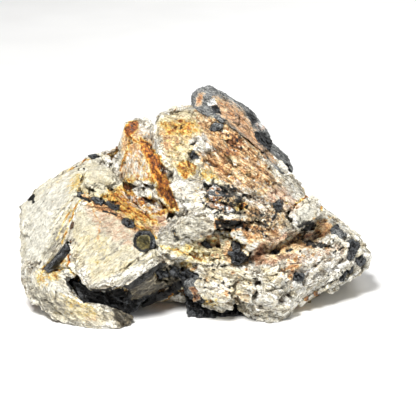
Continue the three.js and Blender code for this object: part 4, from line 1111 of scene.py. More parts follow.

# Lines of stain, and lines of painted shade in cracks and creases and of painted highlight on a lit rim: the
# layer, its strength, its width in pixels, and the line.
STREAKS = {
    "ridge 1": ("dark", 0.95, 3.4, [(78, 195), (84, 198), (90, 201)]),
    "ridge 2": ("dark", 0.95, 3.0, [(92, 199), (100, 202), (108, 205), (116, 209)]),
    "ridge 3": ("dark", 0.9, 2.6, [(103, 211), (110, 213), (116, 216)]),
    "ridge 4": ("dark", 0.5, 1.6, [(118, 211), (128, 217), (138, 224), (150, 232)]),
    "ridge tail": ("iron", 0.66, 2.4, [(128, 220), (142, 228), (156, 238)]),
    # Painted shade in the valley's crack.
    "valley crack": ("dark", 0.6, 1.4, [(110, 163), (116, 174), (124, 184), (134, 190), (142, 198)]),
    "valley vein": ("iron", 0.66, 2.2, [
        (108, 190), (122, 196), (136, 198), (150, 206), (162, 212), (174, 212)]),
    "valley vein 2": ("iron", 0.6, 2.0, [(112, 200), (128, 208), (140, 216), (156, 220)]),
    "valley dots": ("dark", 0.5, 1.0, [(130, 196), (138, 199), (148, 206), (156, 212)]),
    "wedge vein 1": ("iron", 0.86, 1.8, [(126, 128), (132, 138), (140, 144), (148, 152), (156, 168)]),
    "wedge vein 2": ("iron", 0.8, 1.6, [(130, 136), (128, 148), (124, 158), (120, 170)]),
    "wedge vein 3": ("iron", 0.7, 1.3, [(142, 158), (146, 168), (148, 178)]),
    "wedge vein 4": ("iron", 0.7, 1.3, [(130, 152), (138, 160), (144, 170)]),
    "wedge rim": ("iron", 0.92, 2.4, [(146, 144), (156, 160), (164, 176), (172, 196), (178, 210)]),
    # Painted shade in the crack beside the wedge.
    "wedge rim dark": ("dark", 0.62, 1.3, [(148, 146), (157, 162), (166, 180), (174, 198)]),
    # Painted shade in the crack by the white block.
    "block edge": ("dark", 0.55, 1.5, [(176, 202), (184, 210), (192, 218)]),
    "block crease": ("iron", 0.63, 1.4, [(172, 184), (180, 190), (186, 198)]),
    "tan crease 1": ("tan", 0.8, 1.8, [(197, 154), (206, 160), (218, 166), (232, 170)]),
    "tan crease 2": ("tan", 0.8, 1.6, [(206, 168), (218, 178), (232, 184)]),
    "crest shadow": ("tan", 0.8, 2.0, [(204, 116), (220, 122), (236, 130), (250, 142), (266, 158)]),
    "rosy crease": ("rosy", 0.8, 1.6, [(240, 164), (256, 178), (270, 194), (282, 208)]),
    "plate streak": ("dark", 0.8, 4.0, [(281, 202), (278, 210), (273, 219)]),
    "shelf crease": ("iron", 0.45, 2.0, [(160, 246), (176, 250), (192, 256), (206, 262)]),
    # Painted shadow under the ledge.
    "shelf dark": ("dark", 0.45, 2.4, [(194, 256), (204, 260), (216, 260)]),
    "plate spots": ("dark", 0.85, 3.6, [(173, 231), (176, 236), (178, 240)]),
    "ledge chip": ("dark", 0.85, 4.0, [(203, 243), (208, 248)]),
    "right crease 1": ("dark", 0.5, 1.4, [(286, 262), (300, 256), (316, 252), (330, 250)]),
    "right crease 2": ("tan", 0.8, 1.6, [(280, 272), (296, 266), (314, 262)]),
    # Painted shade in the lower plate seam, and on the hem that faces down.
    "right crease 3": ("dark", 0.45, 1.4, [(296, 292), (312, 284), (328, 278), (340, 272)]),
    "right hem": ("dark", 0.7, 2.2, [(298, 302), (312, 294), (328, 284), (342, 278)]),
    # Painted shade in the foot's crease.
    "foot crease": ("dark", 0.5, 1.6, [(246, 296), (256, 300), (262, 310)]),
    # Painted shadow under the slab's ledge, and a painted highlight on its lit rim.
    "slab line": ("dark", 0.5, 1.1, CRACKS["slab ledge"][-1]),
    "slab line light": ("white", 0.9, 1.8, [(152, 253), (140, 262), (127, 271), (114, 277)]),
    "slab crack 1": ("grey", 0.9, 1.6, [(78, 256), (86, 244), (98, 236), (108, 222)]),
    "slab crack 2": ("grey", 0.9, 1.4, [(98, 262), (112, 254), (124, 240), (134, 234)]),
    "slab crack 3": ("tan", 0.8, 1.4, [(92, 210), (100, 224), (98, 240)]),
    "bank crack 3": ("dark", 0.6, 1.3, [(30, 214), (40, 206), (48, 194), (58, 186)]),
    "bank crack 4": ("dark", 0.58, 1.3, [(34, 232), (46, 222), (54, 208)]),
    "bank crack 5": ("dark", 0.6, 1.2, [(38, 262), (44, 246), (54, 234), (60, 220)]),
    "bank crack 6": ("iron", 0.24, 2.4, [(56, 240), (64, 222), (72, 208)]),
    "bank crack 1": ("dark", 0.6, 1.4, [(52, 214), (64, 206), (72, 196), (78, 186)]),
    "bank crack 2": ("white", 0.9, 2.0, [(40, 250), (50, 232), (62, 214), (72, 202)]),
    "bank line": ("iron", 0.51, 1.4, [(62, 244), (68, 226), (76, 206), (82, 198)]),
    "bank line 2": ("grey", 0.8, 2.2, [(34, 250), (46, 230), (58, 214), (70, 204)]),
    "bank line 3": ("grey", 0.7, 2.0, [(30, 236), (40, 220), (52, 206), (62, 192)]),
    "lobe line 1": ("grey", 0.7, 2.4, [(40, 284), (54, 298), (66, 314)]),
    "lobe line 2": ("white", 0.8, 2.4, [(46, 280), (62, 292), (80, 302)]),
    "lobe hem": ("dark", 0.4, 2.4, [(44, 314), (60, 320), (84, 326), (104, 328)]),
    "eye rim": ("dark", 1.0, 3.4, ring(EYE_RADIUS) + ring(EYE_RADIUS)[:1]),
}

# Grains scattered over an area: the layer, its strength, how many, their radius in pixels, and the area.
SPECKS = {
    "bank": ("dark", 0.9, 9, 0.9, [(74, 162), (92, 160), (90, 172), (76, 172)]),
    "valley": ("dark", 0.8, 8, 0.8, [(84, 180), (110, 182), (108, 196), (90, 194)]),
    "left edge": ("dark", 0.95, 6, 2.0, [(28, 194), (36, 192), (34, 202), (28, 204)]),
    "wedge crown": ("dark", 0.6, 10, 1.1, [(124, 124), (138, 122), (132, 140), (124, 150)]),
    "pit": ("dark", 0.8, 16, 1.2, [(224, 134), (242, 134), (244, 152), (228, 156)]),
    "cluster": ("dark", 0.95, 80, 1.2, [
        (199, 184), (224, 180), (250, 194), (250, 216), (214, 214), (200, 206)]),
    "cluster orange": ("iron", 0.6, 12, 1.2, [(208, 196), (224, 198), (222, 208), (208, 206)]),
    "tan face specks": ("tan", 0.9, 60, 1.0, [(196, 120), (232, 128), (270, 168), (262, 184), (210, 160)]),
    "tan light": ("white", 0.55, 60, 1.2, [
        (192, 122), (236, 130), (276, 170), (296, 200), (262, 204), (206, 160)]),
    "rosy face specks": ("rosy", 0.95, 50, 1.0, [(236, 160), (262, 166), (300, 208), (262, 214)]),
    "cavity": ("dark", 0.8, 22, 1.2, [(212, 216), (262, 216), (276, 236), (226, 240)]),
    "ledges": ("dark", 0.6, 26, 0.9, [(176, 236), (244, 234), (250, 266), (190, 264)]),
    "ledge tan": ("tan", 0.6, 22, 1.5, [(186, 236), (246, 232), (250, 262), (190, 262)]),
    "rust band": ("dark", 0.6, 20, 1.1, [(256, 244), (316, 232), (322, 244), (262, 262)]),
    "right": ("dark", 0.75, 26, 1.0, [(268, 260), (340, 236), (352, 270), (292, 300)]),
    "right tan": ("tan", 0.6, 22, 1.6, [(276, 262), (326, 244), (332, 268), (290, 288)]),
    "tip net": ("dark", 0.95, 18, 1.0, [
        (336, 238), (350, 236), (366, 252), (362, 268), (342, 278), (334, 270)]),
    "lower": ("dark", 0.7, 36, 1.2, [(176, 264), (250, 264), (262, 296), (210, 302), (180, 292)]),
    "lower tan": ("tan", 0.5, 24, 1.5, [(186, 266), (250, 268), (256, 296), (206, 300)]),
    "pale": ("tan", 0.8, 22, 0.9, [(156, 124), (200, 112), (204, 140), (166, 170)]),
    "shelf white": ("white", 0.6, 40, 1.4, [(214, 208), (290, 214), (280, 246), (220, 244)]),
}
SPECK_SCALES = (0.6, 1.7)
STREAK_SOFT = 1.5  # pixels over which the edge of a streak fades
SPECK_SOFT = 0.8
CRISP = 2  # the softness up to which a patch keeps close to its outline
BROAD_SIZE, BROAD_REACH = 5.0, 4  # mm across the bends of a soft outline, and pixels that it wanders
FINE_SIZE, FINE_REACH = 1.6, 1.5  # the same for every outline


SPOT_TRIES = 6  # places drawn for each spot, since some fall outside the outline


def near_box(u, v, outline, reach):
    """Which pixels are within reach of an outline's box."""
    low, high = np.min(outline, axis=0) - reach, np.max(outline, axis=0) + reach
    return np.flatnonzero((u > low[0]) & (u < high[0]) & (v > low[1]) & (v < high[1]))


def spots_in(outline, count):
    """Places at random inside an outline."""
    low, high = np.min(outline, axis=0), np.max(outline, axis=0)
    spots = rng.uniform(low, high, (count * SPOT_TRIES, 2))
    return spots[inside(spots[:, 0], spots[:, 1], outline)][:count]


# Raises a layer's strength at some points. The layers hold stains, and the grey, dark and white also painted
# shade and painted light.
def stain(paint, layer, which, strength):
    column = LAYERS.index(layer)
    paint[which, column] = np.maximum(paint[which, column], strength)


def lay_area(paint, u, v, layer, strength, soft, outline):
    which = near_box(u, v, outline, soft)
    depth = outline_depth(u[which], v[which], outline)
    stain(paint, layer, which, strength * smooth_step(-soft, soft, depth))


def lay_line(paint, u, v, layer, strength, width, line):
    outer, inner = width / 2 + STREAK_SOFT, width / 2 - STREAK_SOFT
    which = near_box(u, v, line, outer)
    away = line_distance(u[which], v[which], line)
    stain(paint, layer, which, strength * smooth_step(outer, inner, away))


def stain_spots(paint, u, v, layer, strength, count, radius, outline):
    for spot in spots_in(outline, count):
        size = radius * rng.uniform(*SPECK_SCALES)
        which = near_box(u, v, [spot], size + 1)
        away = np.hypot(u[which] - spot[0], v[which] - spot[1])
        stain(paint, layer, which, strength * smooth_step(size + SPECK_SOFT, size - SPECK_SOFT, away))


def front_paint(points):
    """Each layer's strength at each point, from the front's named stains, painted shade and painted light."""
    u, v, _ = pixel_of(points)
    broad_u, broad_v = wandering(points, BROAD_SIZE, SHIFTS["broad bends"], BROAD_REACH)
    fine_u, fine_v = wandering(points, FINE_SIZE, SHIFTS["fine bends"], FINE_REACH)
    loose = u + broad_u + fine_u, v + broad_v + fine_v
    close = u + fine_u, v + fine_v
    paint = np.zeros((len(points), len(LAYERS)))
    for layer, strength, soft, outline in PATCHES.values():
        lay_area(paint, *(close if soft <= CRISP else loose), layer, strength, soft, outline)
    for streak in STREAKS.values():
        lay_line(paint, *close, *streak)
    for specks in SPECKS.values():
        stain_spots(paint, *close, *specks)
    return paint


# How each layer lies over the sides and the back: its size in millimetres, where its noise starts and is
# full, and its greatest strength.
SCATTER = {
    "cream": (17, -0.3, 0.4, 0.6),
    "grey": (13, 0.05, 0.45, 0.6),
    "rosy": (21, 0.1, 0.5, 0.6),
    "tan": (15, 0.2, 0.55, 0.75),
    "iron": (11, 0.1, 0.6, 0.8),
    "white": (12, 0.1, 0.5, 0.75),
    "dark": (3.2, 0.5, 0.7, 0.9),
}
DARK_GROUNDS, DARK_EDGE = 18, (0.0, 0.35)  # mm across the grounds of the dark grains, and their edge
VEIN_SIZES = {"iron": 14, "dark": 23}
VEIN_STRENGTH, VEIN_EDGE = 0.55, (0.06, 0.015)
VEIN_GROUNDS, VEIN_GROUND_EDGE = 19, (0, 0.3)


def scattered_paint(points):
    """The strength of each layer where no named layer of the front reaches."""
    paint = np.zeros((len(points), len(LAYERS)))
    for i, (layer, (size, start, full, strength)) in enumerate(SCATTER.items()):
        spread = smooth_step(start, full, layered(points, size, SHIFTS["spreads"] + i))
        stain(paint, layer, slice(None), strength * spread)
    dark_grounds = layered(points, DARK_GROUNDS, SHIFTS["dark grounds"])
    paint[:, LAYERS.index("dark")] *= smooth_step(*DARK_EDGE, dark_grounds)
    for i, (layer, size) in enumerate(VEIN_SIZES.items()):
        level = layered(points, size, SHIFTS["veins"] + i)
        vein = VEIN_STRENGTH * smooth_step(*VEIN_EDGE, np.abs(level))
        grounds = layered(points, VEIN_GROUNDS, SHIFTS["vein grounds"] + i)
        grounds = smooth_step(*VEIN_GROUND_EDGE, grounds)
        stain(paint, layer, slice(None), vein * grounds)
    return paint


# How far behind the front in mm, and how far turned from the camera, the named stains, painted shade and
# painted light fade out.
ALBITE_SEEN = ((-6, -4), (-0.5, -0.15))
SCHORL_SEEN = ((-5, -2.5), (-0.25, 0.1))


def seen_share(points, normals, front, depths, angles):
    """How well the camera sees each point: 1 on the front, 0 behind it or turned away from it."""
    u, v, depth = pixel_of(points)
    return smooth_step(*depths, depth - front.at(u, v)) * smooth_step(*angles, normals @ TOWARDS)


def albite_paint(points, normals, front):
    """The strength of each layer at each point of the albite."""
    seen = seen_share(points, normals, front, *ALBITE_SEEN)[:, None]
    return seen * front_paint(points) + (1 - seen) * scattered_paint(points)


SHUT_REACH = 6  # voxels over which a place counts as shut in
SMOOTHINGS = (2, 9)  # rounds of smoothing that the fine and the broad relief are measured against
RELIEF_UNITS = (0.10, 0.30)  # mm of fine and broad relief that count as 1


def mesh_relief(points, normals, edges):
    """How deep each vertex lies below its surroundings, fine and broad, below zero on an edge."""
    smooth, found = points.astype(float), []
    for rounds in range(1, SMOOTHINGS[-1] + 1):
        smooth = np.stack([neighbour_mean(column, edges) for column in smooth.T], axis=1)
        if rounds in SMOOTHINGS:
            found.append(((smooth - points) * normals).sum(axis=1) / RELIEF_UNITS[len(found)])
    return found


def form_of(made, volume):
    """The fine and the broad relief, and how shut in each vertex is."""
    points = vertices_of(made)
    fine, broad = mesh_relief(points, normals_of(made), edges_of(made))
    filled = np.clip(0.5 - volume.values / (2 * volume.voxel), 0, 1)
    return np.stack([fine, broad, volume.at(points, blurred(filled, SHUT_REACH))], axis=1)


# ---------------------------------------------------------------- the schorl

LARGE_VOXEL, SMALL_VOXEL = 0.3, 0.22
LARGE_CRYSTALS = ("schorl_crest", "schorl_hollow_mass", "schorl_foot", "schorl_far_patch")
SMOOTH_CRYSTALS = ("schorl_prism", "schorl_far_prism_1", "schorl_far_prism_2", "schorl_eye")
SMOOTH_RELIEF, LUMP_RELIEF = 0.25, 0.95
SCHORL_CHIP, SCHORL_COVER = 1.6, 0.5  # half the length of its chips, and the share of surface they cover
CHIP_STRETCH = 2.2
SCHORL_GROWTH = 0.15  # mm, which hides the gap that the CAD solids keep
SCHORL_PROUDEST, SCHORL_DEEPEST = 0.25, 0.7
RIB_SIZE, RIB_HEIGHT, RIB_RUN = 0.5, 0.07, 0.94  # mm across a rib, its height, and how straight it runs
THREAD_SIZE, THREAD_HEIGHT = 0.24, 0.05
SCHORL_DENSITY = 7  # triangles on a square millimetre

# Stained areas of the front's crystals, as PATCHES. The crest's grey is a painted sheen of its glossy black
# faces.
CRYSTAL_PATCHES = {
    # Painted sheen: grey for light on the crest's glossy black faces.
    "crest": ("grey", 0.9, 6, [
        (184, 100), (200, 80), (226, 84), (256, 104), (276, 136), (298, 170), (284, 182), (240, 140),
        (200, 118)]),
    "crest film": ("tan", 0.5, 5, [
        (214, 94), (228, 98), (244, 112), (264, 142), (280, 166), (262, 158), (240, 134), (222, 118),
        (212, 108)]),
    "crest film left": ("tan", 0.62, 3, [(198, 92), (204, 92), (202, 104), (196, 106)]),
    "crest stain": ("iron", 0.14, 3, [(212, 98), (224, 98), (228, 110), (218, 112)]),
    "crest white": ("white", 0.9, 1.5, [(207, 101), (214, 99), (217, 104), (210, 107)]),
    "crest black": ("dark", 1.0, 2, [(211, 106), (217, 104), (221, 113), (212, 113)]),
    "crest black edge": ("dark", 0.9, 3, [(246, 112), (252, 110), (258, 122), (252, 126)]),
    "crest black mass": ("dark", 1.0, 3, [(254, 130), (266, 134), (272, 144), (270, 152), (258, 144)]),
    "crest black foot": ("dark", 0.9, 3, [(280, 168), (290, 170), (289, 180), (282, 178)]),
    "crest pink": ("rosy", 0.34, 1.5, [(256, 122), (265, 123), (264, 132), (257, 131)]),
    "crest pink white": ("white", 0.8, 1.5, [(258, 121), (264, 123), (262, 128), (258, 127)]),
    "keel": ("grey", 0.85, 4, [(184, 280), (198, 276), (206, 288), (200, 298), (186, 294)]),
    "keel tan": ("tan", 0.9, 2.5, [(190, 288), (206, 286), (208, 298), (194, 300)]),
    "tip": ("grey", 0.75, 3, [(330, 228), (346, 230), (346, 242), (332, 238)]),
    "ledge crystal": ("grey", 0.8, 2.5, [(230, 242), (242, 244), (240, 251), (229, 250)]),
    "cluster grey": ("grey", 0.4, 4, [(206, 184), (224, 184), (244, 196), (244, 214), (206, 210)]),
    "cluster rust": ("tan", 0.7, 2, [(211, 197), (223, 198), (222, 207), (210, 206)]),
    "cluster edge": ("grey", 0.9, 1.5, [
        (202, 186), (209, 184), (210, 194), (207, 200), (210, 210), (202, 212)]),
    "eye core": ("olive", 1.0, 2, ring(0.7 * EYE_RADIUS)),
}
# Crystals grown through with grains: their outline, and the size and strength of the grains.
CLUSTER = [(204, 184), (224, 183), (244, 195), (246, 215), (206, 211)]
CLUSTER_GRAINS = {"tan": 1.1, "white": 0.8}
CLUSTER_STRENGTH, CLUSTER_EDGE = 0.8, (0.12, 0.3)
# An outline's bends in mm, their noise, and the pixels that it wanders.
CRYSTAL_WANDER = 3.0, SHIFTS["crystal bends"], 2.5
FILM_STRENGTH, FILM_SIZE, FILM_EDGE = 0.5, 7, (0.25, 0.6)
DUST_STRENGTH, DUST_SIZE, DUST_EDGE = 0.4, 4, (0.1, 0.5)
DUST_LOSS = 0.6  # the share of the dust that the front lacks


def main_axis(points):
    """The direction in which a set of points is longest."""
    middle = points - points.mean(axis=0)
    return np.linalg.eigh(middle.T @ middle)[1][:, -1]


def rib(made, axis):
    """Ribs a crystal along its length."""
    points, normals = vertices_of(made), normals_of(made)
    across = points - (points @ axis)[:, None] * axis * RIB_RUN
    height = RIB_HEIGHT * ridges(across, RIB_SIZE, SHIFTS["ribs"])
    height = height + THREAD_HEIGHT * noise(across, THREAD_SIZE, SHIFTS["threads"])
    set_vertices(made, points + normals * height[:, None])


def build_crystal(name):
    """One schorl crystal, or cluster of crystals, chiselled and ribbed along its length."""
    volume = volume_of([name], LARGE_VOXEL if name in LARGE_CRYSTALS else SMALL_VOXEL)
    axis = main_axis(nodes_mesh([name])[0])
    volume.values -= SCHORL_GROWTH
    base = volume.values.copy()
    relief = SMOOTH_RELIEF if name in SMOOTH_CRYSTALS else LUMP_RELIEF

    def breaks(points, _):
        count = len(points)
        return np.tile(axis, (count, 1)), np.full(count, CHIP_STRETCH), np.full(count, relief)

    chip_away(volume, SCHORL_CHIP, SCHORL_COVER, breaks)
    volume.values = np.clip(volume.values, base - SCHORL_PROUDEST, base + SCHORL_DEEPEST)
    made = mesh_object(name + "_finish", *volume.mesh())
    cleave_all(made, volume.voxel, SCHORL_PLANES, breaks)
    rib(made, axis)
    area = sum(polygon.area for polygon in made.data.polygons) * MM**2
    thin_out(made, int(area * SCHORL_DENSITY))
    return made, volume, axis


def crystal_paint(points, normals, front):
    """The stains on a crystal, with the crest's painted sheen: the named ones of the front, and films and
    dust elsewhere.
    """
    u, v, _ = pixel_of(points)
    wander_u, wander_v = wandering(points, *CRYSTAL_WANDER)
    u, v = u + wander_u, v + wander_v
    paint = np.zeros((len(points), len(LAYERS)))
    for patch in CRYSTAL_PATCHES.values():
        lay_area(paint, u, v, *patch)
    seen = seen_share(points, normals, front, *SCHORL_SEEN)
    paint *= seen[:, None]
    for i, (layer, size) in enumerate(CLUSTER_GRAINS.items()):
        grains = smooth_step(*CLUSTER_EDGE, layered(points, size, SHIFTS["cluster"] + i))
        grains = grains * inside(u, v, CLUSTER)
        stain(paint, layer, slice(None), CLUSTER_STRENGTH * grains * seen)
    film = FILM_STRENGTH * smooth_step(*FILM_EDGE, layered(points, FILM_SIZE, SHIFTS["film"]))
    stain(paint, "tan", slice(None), film * (1 - seen))
    dust = DUST_STRENGTH * smooth_step(*DUST_EDGE, layered(points, DUST_SIZE, SHIFTS["dust"]))
    stain(paint, "grey", slice(None), dust * (1 - DUST_LOSS * seen))
    return paint


# ---------------------------------------------------------------- materials


def linear(colour):
    """A display colour, 0 to 255, as linear light."""
    shares = [part / 255 for part in colour]
    return *(x / 12.92 if x <= 0.04045 else ((x + 0.055) / 1.055) ** 2.4 for x in shares), 1.0


class Shader:
    """Short names for the nodes of one material. Sizes are in millimetres, colours as displayed."""

    def __init__(self, name):
        self.material = bpy.data.materials.new(name)
        self.material.use_nodes = True
        self.tree = self.material.node_tree
        self.surface = self.tree.nodes["Principled BSDF"]

    def put(self, socket, value):
        if isinstance(value, bpy.types.NodeSocket):
            self.tree.links.new(value, socket)
        else:
            socket.default_value = value

    def finish(self, **inputs):
        """Sets the surface's inputs, and gives the material."""
        for name, value in inputs.items():
            self.put(self.surface.inputs[name.replace("_", " ")], value)
        return self.material

    def node(self, kind, inputs, **settings):
        made = self.tree.nodes.new(kind)
        for name, value in settings.items():
            setattr(made, name, value)
        for name, value in inputs.items():
            self.put(made.inputs[name], value)
        return made

    def math(self, operation, a, b=0.0):
        return self.node("ShaderNodeMath", {0: a, 1: b}, operation=operation).outputs[0]

    def plus(self, a, b):
        return self.math("ADD", a, b)

    def minus(self, a, b):
        return self.math("SUBTRACT", a, b)

    def times(self, a, b):
        return self.math("MULTIPLY", a, b)

    def larger(self, a, b):
        return self.math("MAXIMUM", a, b)

    def step(self, value, low, high, most=1.0):
        """A smooth step from 0 at low to most at high."""
        inputs = {"Value": value, "From Min": low, "From Max": high, "To Max": most}
        return self.node("ShaderNodeMapRange", inputs, interpolation_type="SMOOTHSTEP").outputs["Result"]

    def mix(self, amount, a, b, blend="MIX"):
        a, b = (linear(c) if isinstance(c, tuple) else c for c in (a, b))
        inputs = {"Factor": amount, "A": a, "B": b}
        return self.node("ShaderNodeMix", inputs, data_type="RGBA", blend_type=blend).outputs["Result"]

    def shade(self, amount, colour, by):
        return self.mix(amount, colour, by, "MULTIPLY")

    def light(self, amount, colour, by):
        return self.mix(amount, colour, by, "SOFT_LIGHT")

    def ramp(self, value, stops):
        made = self.node("ShaderNodeValToRGB", {"Fac": value})
        elements = made.color_ramp.elements
        elements.remove(elements[1])
        elements[0].position, elements[0].color = stops[0][0], linear(stops[0][1])
        for place, colour in stops[1:]:
            elements.new(place).color = linear(colour)
        return made.outputs["Color"]

    def noise(self, where, size, detail=3.0, rough=0.55, distortion=0.0):
        """Noise with features of about size."""
        inputs = {"Vector": where, "Scale": 1 / size, "Detail": detail, "Roughness": rough,
                  "Distortion": distortion}
        return self.node("ShaderNodeTexNoise", inputs).outputs["Fac"]

    def warp(self, where, size, reach):
        """Offsets at random of about reach, in bends of about size."""
        made = self.node("ShaderNodeTexNoise", {"Vector": where, "Scale": 1 / size})
        return self.vector("SCALE", self.centred(made.outputs["Color"]), scale=reach)

    def seams(self, where, size):
        """The distance to the seams between grains of about size."""
        inputs = {"Vector": where, "Scale": 1 / size}
        return self.node("ShaderNodeTexVoronoi", inputs, feature="DISTANCE_TO_EDGE").outputs["Distance"]

    def breaks(self, where, size):
        """Flat breaks of about size: a value at random for each, and the height of its tilted plane."""
        made = self.node("ShaderNodeTexVoronoi", {"Vector": where, "Scale": 1 / size}, feature="F1")
        offset = self.vector("SUBTRACT", where, made.outputs["Position"])
        height = self.vector("DOT_PRODUCT", self.centred(made.outputs["Color"]), offset)
        return self.parts(made.outputs["Color"])[0], height

    def vector(self, operation, a, b=None, scale=None):
        inputs = {name: value for name, value in ((0, a), (1, b), ("Scale", scale)) if value is not None}
        made = self.node("ShaderNodeVectorMath", inputs, operation=operation)
        return made.outputs["Value" if operation == "DOT_PRODUCT" else "Vector"]

    def centred(self, colour):
        """A colour at random as a vector at random round zero."""
        return self.vector("SUBTRACT", colour, (0.5, 0.5, 0.5))

    def attribute(self, name):
        return self.node("ShaderNodeAttribute", {}, attribute_name=name).outputs["Vector"]

    def parts(self, vector):
        return list(self.node("ShaderNodeSeparateXYZ", {0: vector}).outputs)

    def place(self, shift=0.0):
        """The place on the object, which moves with it."""
        where = self.node("ShaderNodeTexCoord", {}).outputs["Object"]
        return self.vector("ADD", self.vector("SCALE", where, scale=MM), (shift, shift, shift))

    def stretched(self, where, run, stretch):
        """Places squeezed along a run, so that noise there draws out into fibres."""
        along = self.vector("DOT_PRODUCT", where, run)
        back = self.vector("SCALE", run, scale=self.times(along, 1 - 1 / stretch))
        return self.vector("SUBTRACT", where, back)

    def bump(self, height, distance, normal=None):
        inputs = {"Distance": distance / MM, "Height": height}
        if normal is not None:
            inputs["Normal"] = normal
        return self.node("ShaderNodeBump", inputs).outputs["Normal"]


# The noise of each layer, which breaks up stains, painted shade and painted highlights alike.
LAYER_SHIFT = 17.3  # mm between the noise of one stain and that of the next
LAYER_GRAIN = (6, 0.78, 0.6)  # the detail, roughness and distortion of that noise
LAYER_START = (0.0, 0.25)  # the strengths between which the noise starts to thicken and thin a stain
CRYSTAL_LAYERS = list(LAYER_COLOURS)[1:]  # cream shows on the albite alone

# The albite's noises: their size, detail, roughness and distortion.
FIBRES, THREADS = (0.9, 5, 0.7, 0.5), (0.34, 3, 0.7)
GRAIN, BLOTCHES = (0.5, 4, 0.75), (4.5, 6, 0.68, 0.6)
LINES, PATCHY = (1.5, 3, 0.6, 0.3), (2.4, 4, 0.6)
LINE_SHIFT, PATCHY_SHIFT = 31.0, 53.0  # mm that keep these two apart from the rest
FIBRE_DRAW, BREAK_DRAW, LINE_DRAW = 4.0, 3.0, 9.0  # how far the run draws them out
BREAK_WARP, SEAM_WARP = (1.4, 1.2), (1.6, 1.5)  # the size and the reach of the bends in breaks and seams
BREAK_SIZE, CHIP_SIZE, SEAM_SIZE = 2.4, 0.95, 2.0  # mm across flat breaks, and grains with seams between them

# The same for the crystals.
RIBS, SCHORL_GRAIN, SCHORL_BLOTCHES = (0.45, 4, 0.6), (0.42, 4, 0.72), (2.2, 6, 0.7, 0.5)
RIB_DRAW, SCAR_DRAW, SCAR_SIZE = 10.0, 2.0, 1.1
SCHORL_SHIFT, FIRST_CRYSTAL_LAYER = 5.0, 9  # what keeps their noises apart from the albite's

# The steps of the colours: the values from which and to which each rises, and its strength.
STEPS = {
    "seam": (0.09, 0.0, 0.30),
    "hollow": (0.2, 1.2, 0.34),
    "iron gathers": (0.04, 0.3),
    "crease dirt and shade": (1.7, 3.2, 0.75),
    "deep": (0.60, 0.80, 0.7),
    "line": (0.022, 0.004, 0.75),
    "line ground": (0.40, 0.56),
    "line in calm": (0.6, 0.2),
    "rough": (1.1, 0.0),
    "planes": (0.6, 0.0),
    "calm": (0.0, 0.9),
    "crowded": (0.38, 0.58),
    "glint": (0.54, 0.62),
    "glint in calm": (1.0, 0.5),
    "bright break": (0.70, 0.76, 0.7),
    "bright chip": (0.74, 0.8),
    "gap": (0.05, 0.0, 0.75),
    "gap ground": (0.42, 0.56),
    "edge": (-0.3, -1.1, 0.9),
    "grey dust and sheen": (0.3, 0.7),
    "crystal dust": (0.8, 1.8, 0.2),
    "crystal edge highlight": (-0.3, -1.4, 0.35),
    "crystal deep shade": (0.55, 0.75, 0.8),
}
CREASE_GRAIN = 1.2  # how much the grain counts in a crease
THREAD_SHARE, PEPPER_SHARE, BREAK_SHARE = 0.5, 0.85, 0.8  # the strength of each shading
THREAD_RELIEF = 0.4  # the height of the threads, as a share of the fibres'
FIBRE_BUMP, PLANE_BUMP, GRAIN_BUMP = 0.25, 1.1, 0.28  # mm
ROUGHNESS, THREAD_ROUGHNESS, DARK_GLOSS = 0.36, 0.4, 0.18
SCHORL_SHARE = 0.8  # the strength of the crystals' threads and specks
GREY_SWING = 0.9  # how far noise breaks up the grey film
RIB_BUMP, SCAR_BUMP, SCHORL_BUMP = 0.22, 1.8, 0.16  # mm
SCHORL_ROUGHNESS, GRAIN_ROUGHNESS, STAIN_ROUGHNESS = 0.08, 0.3, 0.35
SCHORL_SHEEN, FLOOR_SHEEN, FLOOR_ROUGHNESS = 0.45, 0.1, 0.9

WHITE = (255, 255, 255)
IVORY = [(0.2, (224, 217, 197)), (0.45, (242, 238, 224)), (0.7, (252, 250, 243))]
# Painted glints on grains and bright breaks, and a painted highlight on the edges.
PAINTED_GLINT, EDGE_LIGHT = (255, 252, 244), (255, 252, 242)  # light on a fresh break and on an edge
# Dirt and painted shade in the creases.
CREASE_DIRT_AND_SHADE = [(0.35, (44, 36, 28)), (0.6, (112, 92, 66))]
DEEP_SHADE, LINE_SHADE, CALM_SHADE, GAP_SHADE = (108, 86, 62), (96, 80, 62), (170, 165, 143), (62, 50, 38)
THREAD_SHADES = [(0.35, (92, 82, 68)), (0.44, (204, 198, 186)), (0.52, WHITE)]
GRAIN_SHADES = [(0.37, (50, 44, 36)), (0.45, (210, 205, 195)), (0.52, WHITE)]
PEPPER_SHADES = [(0.36, (84, 76, 64)), (0.45, WHITE)]
BREAK_SHADES = [(0.0, (158, 148, 134)), (0.18, (226, 220, 208)), (0.36, WHITE)]
SCHORL_COLOURS = [(0.35, (4, 4, 5)), (0.54, (12, 13, 15)), (0.7, (42, 45, 50))]
SCHORL_GREY = [(0.36, (62, 66, 69)), (0.5, (126, 128, 127)), (0.64, (178, 177, 171))]
SCHORL_THREADS = [(0.38, (90, 90, 90)), (0.5, WHITE)]
SCHORL_SPECKS = [(0.38, (90, 88, 84)), (0.5, WHITE)]
# The crystals' dust in their hollows, a painted highlight on their edges, and painted shade where they are
# shut in.
SCHORL_DUST, SCHORL_EDGE_HIGHLIGHT, SCHORL_DEEP_SHADE = (96, 86, 70), (120, 124, 128), (40, 38, 36)
PAPER, PAPER_NOISE = [(0.3, (243, 243, 242)), (0.7, (247, 247, 246))], (60, 2)


def layer_masks(shader):
    """The layer strengths of the vertices, by name."""
    triples = (shader.parts(shader.attribute(f"paint_layers_{i // 3}")) for i in range(0, len(LAYERS), 3))
    return dict(zip(LAYERS, (mask for triple in triples for mask in triple)))


def layer_noise(shader, i, name, run):
    _, _, size, stretch, _ = LAYER_COLOURS[name]
    where = shader.stretched(shader.place(shift=LAYER_SHIFT * (i + 1)), run, stretch)
    return shader.noise(where, size, *LAYER_GRAIN)


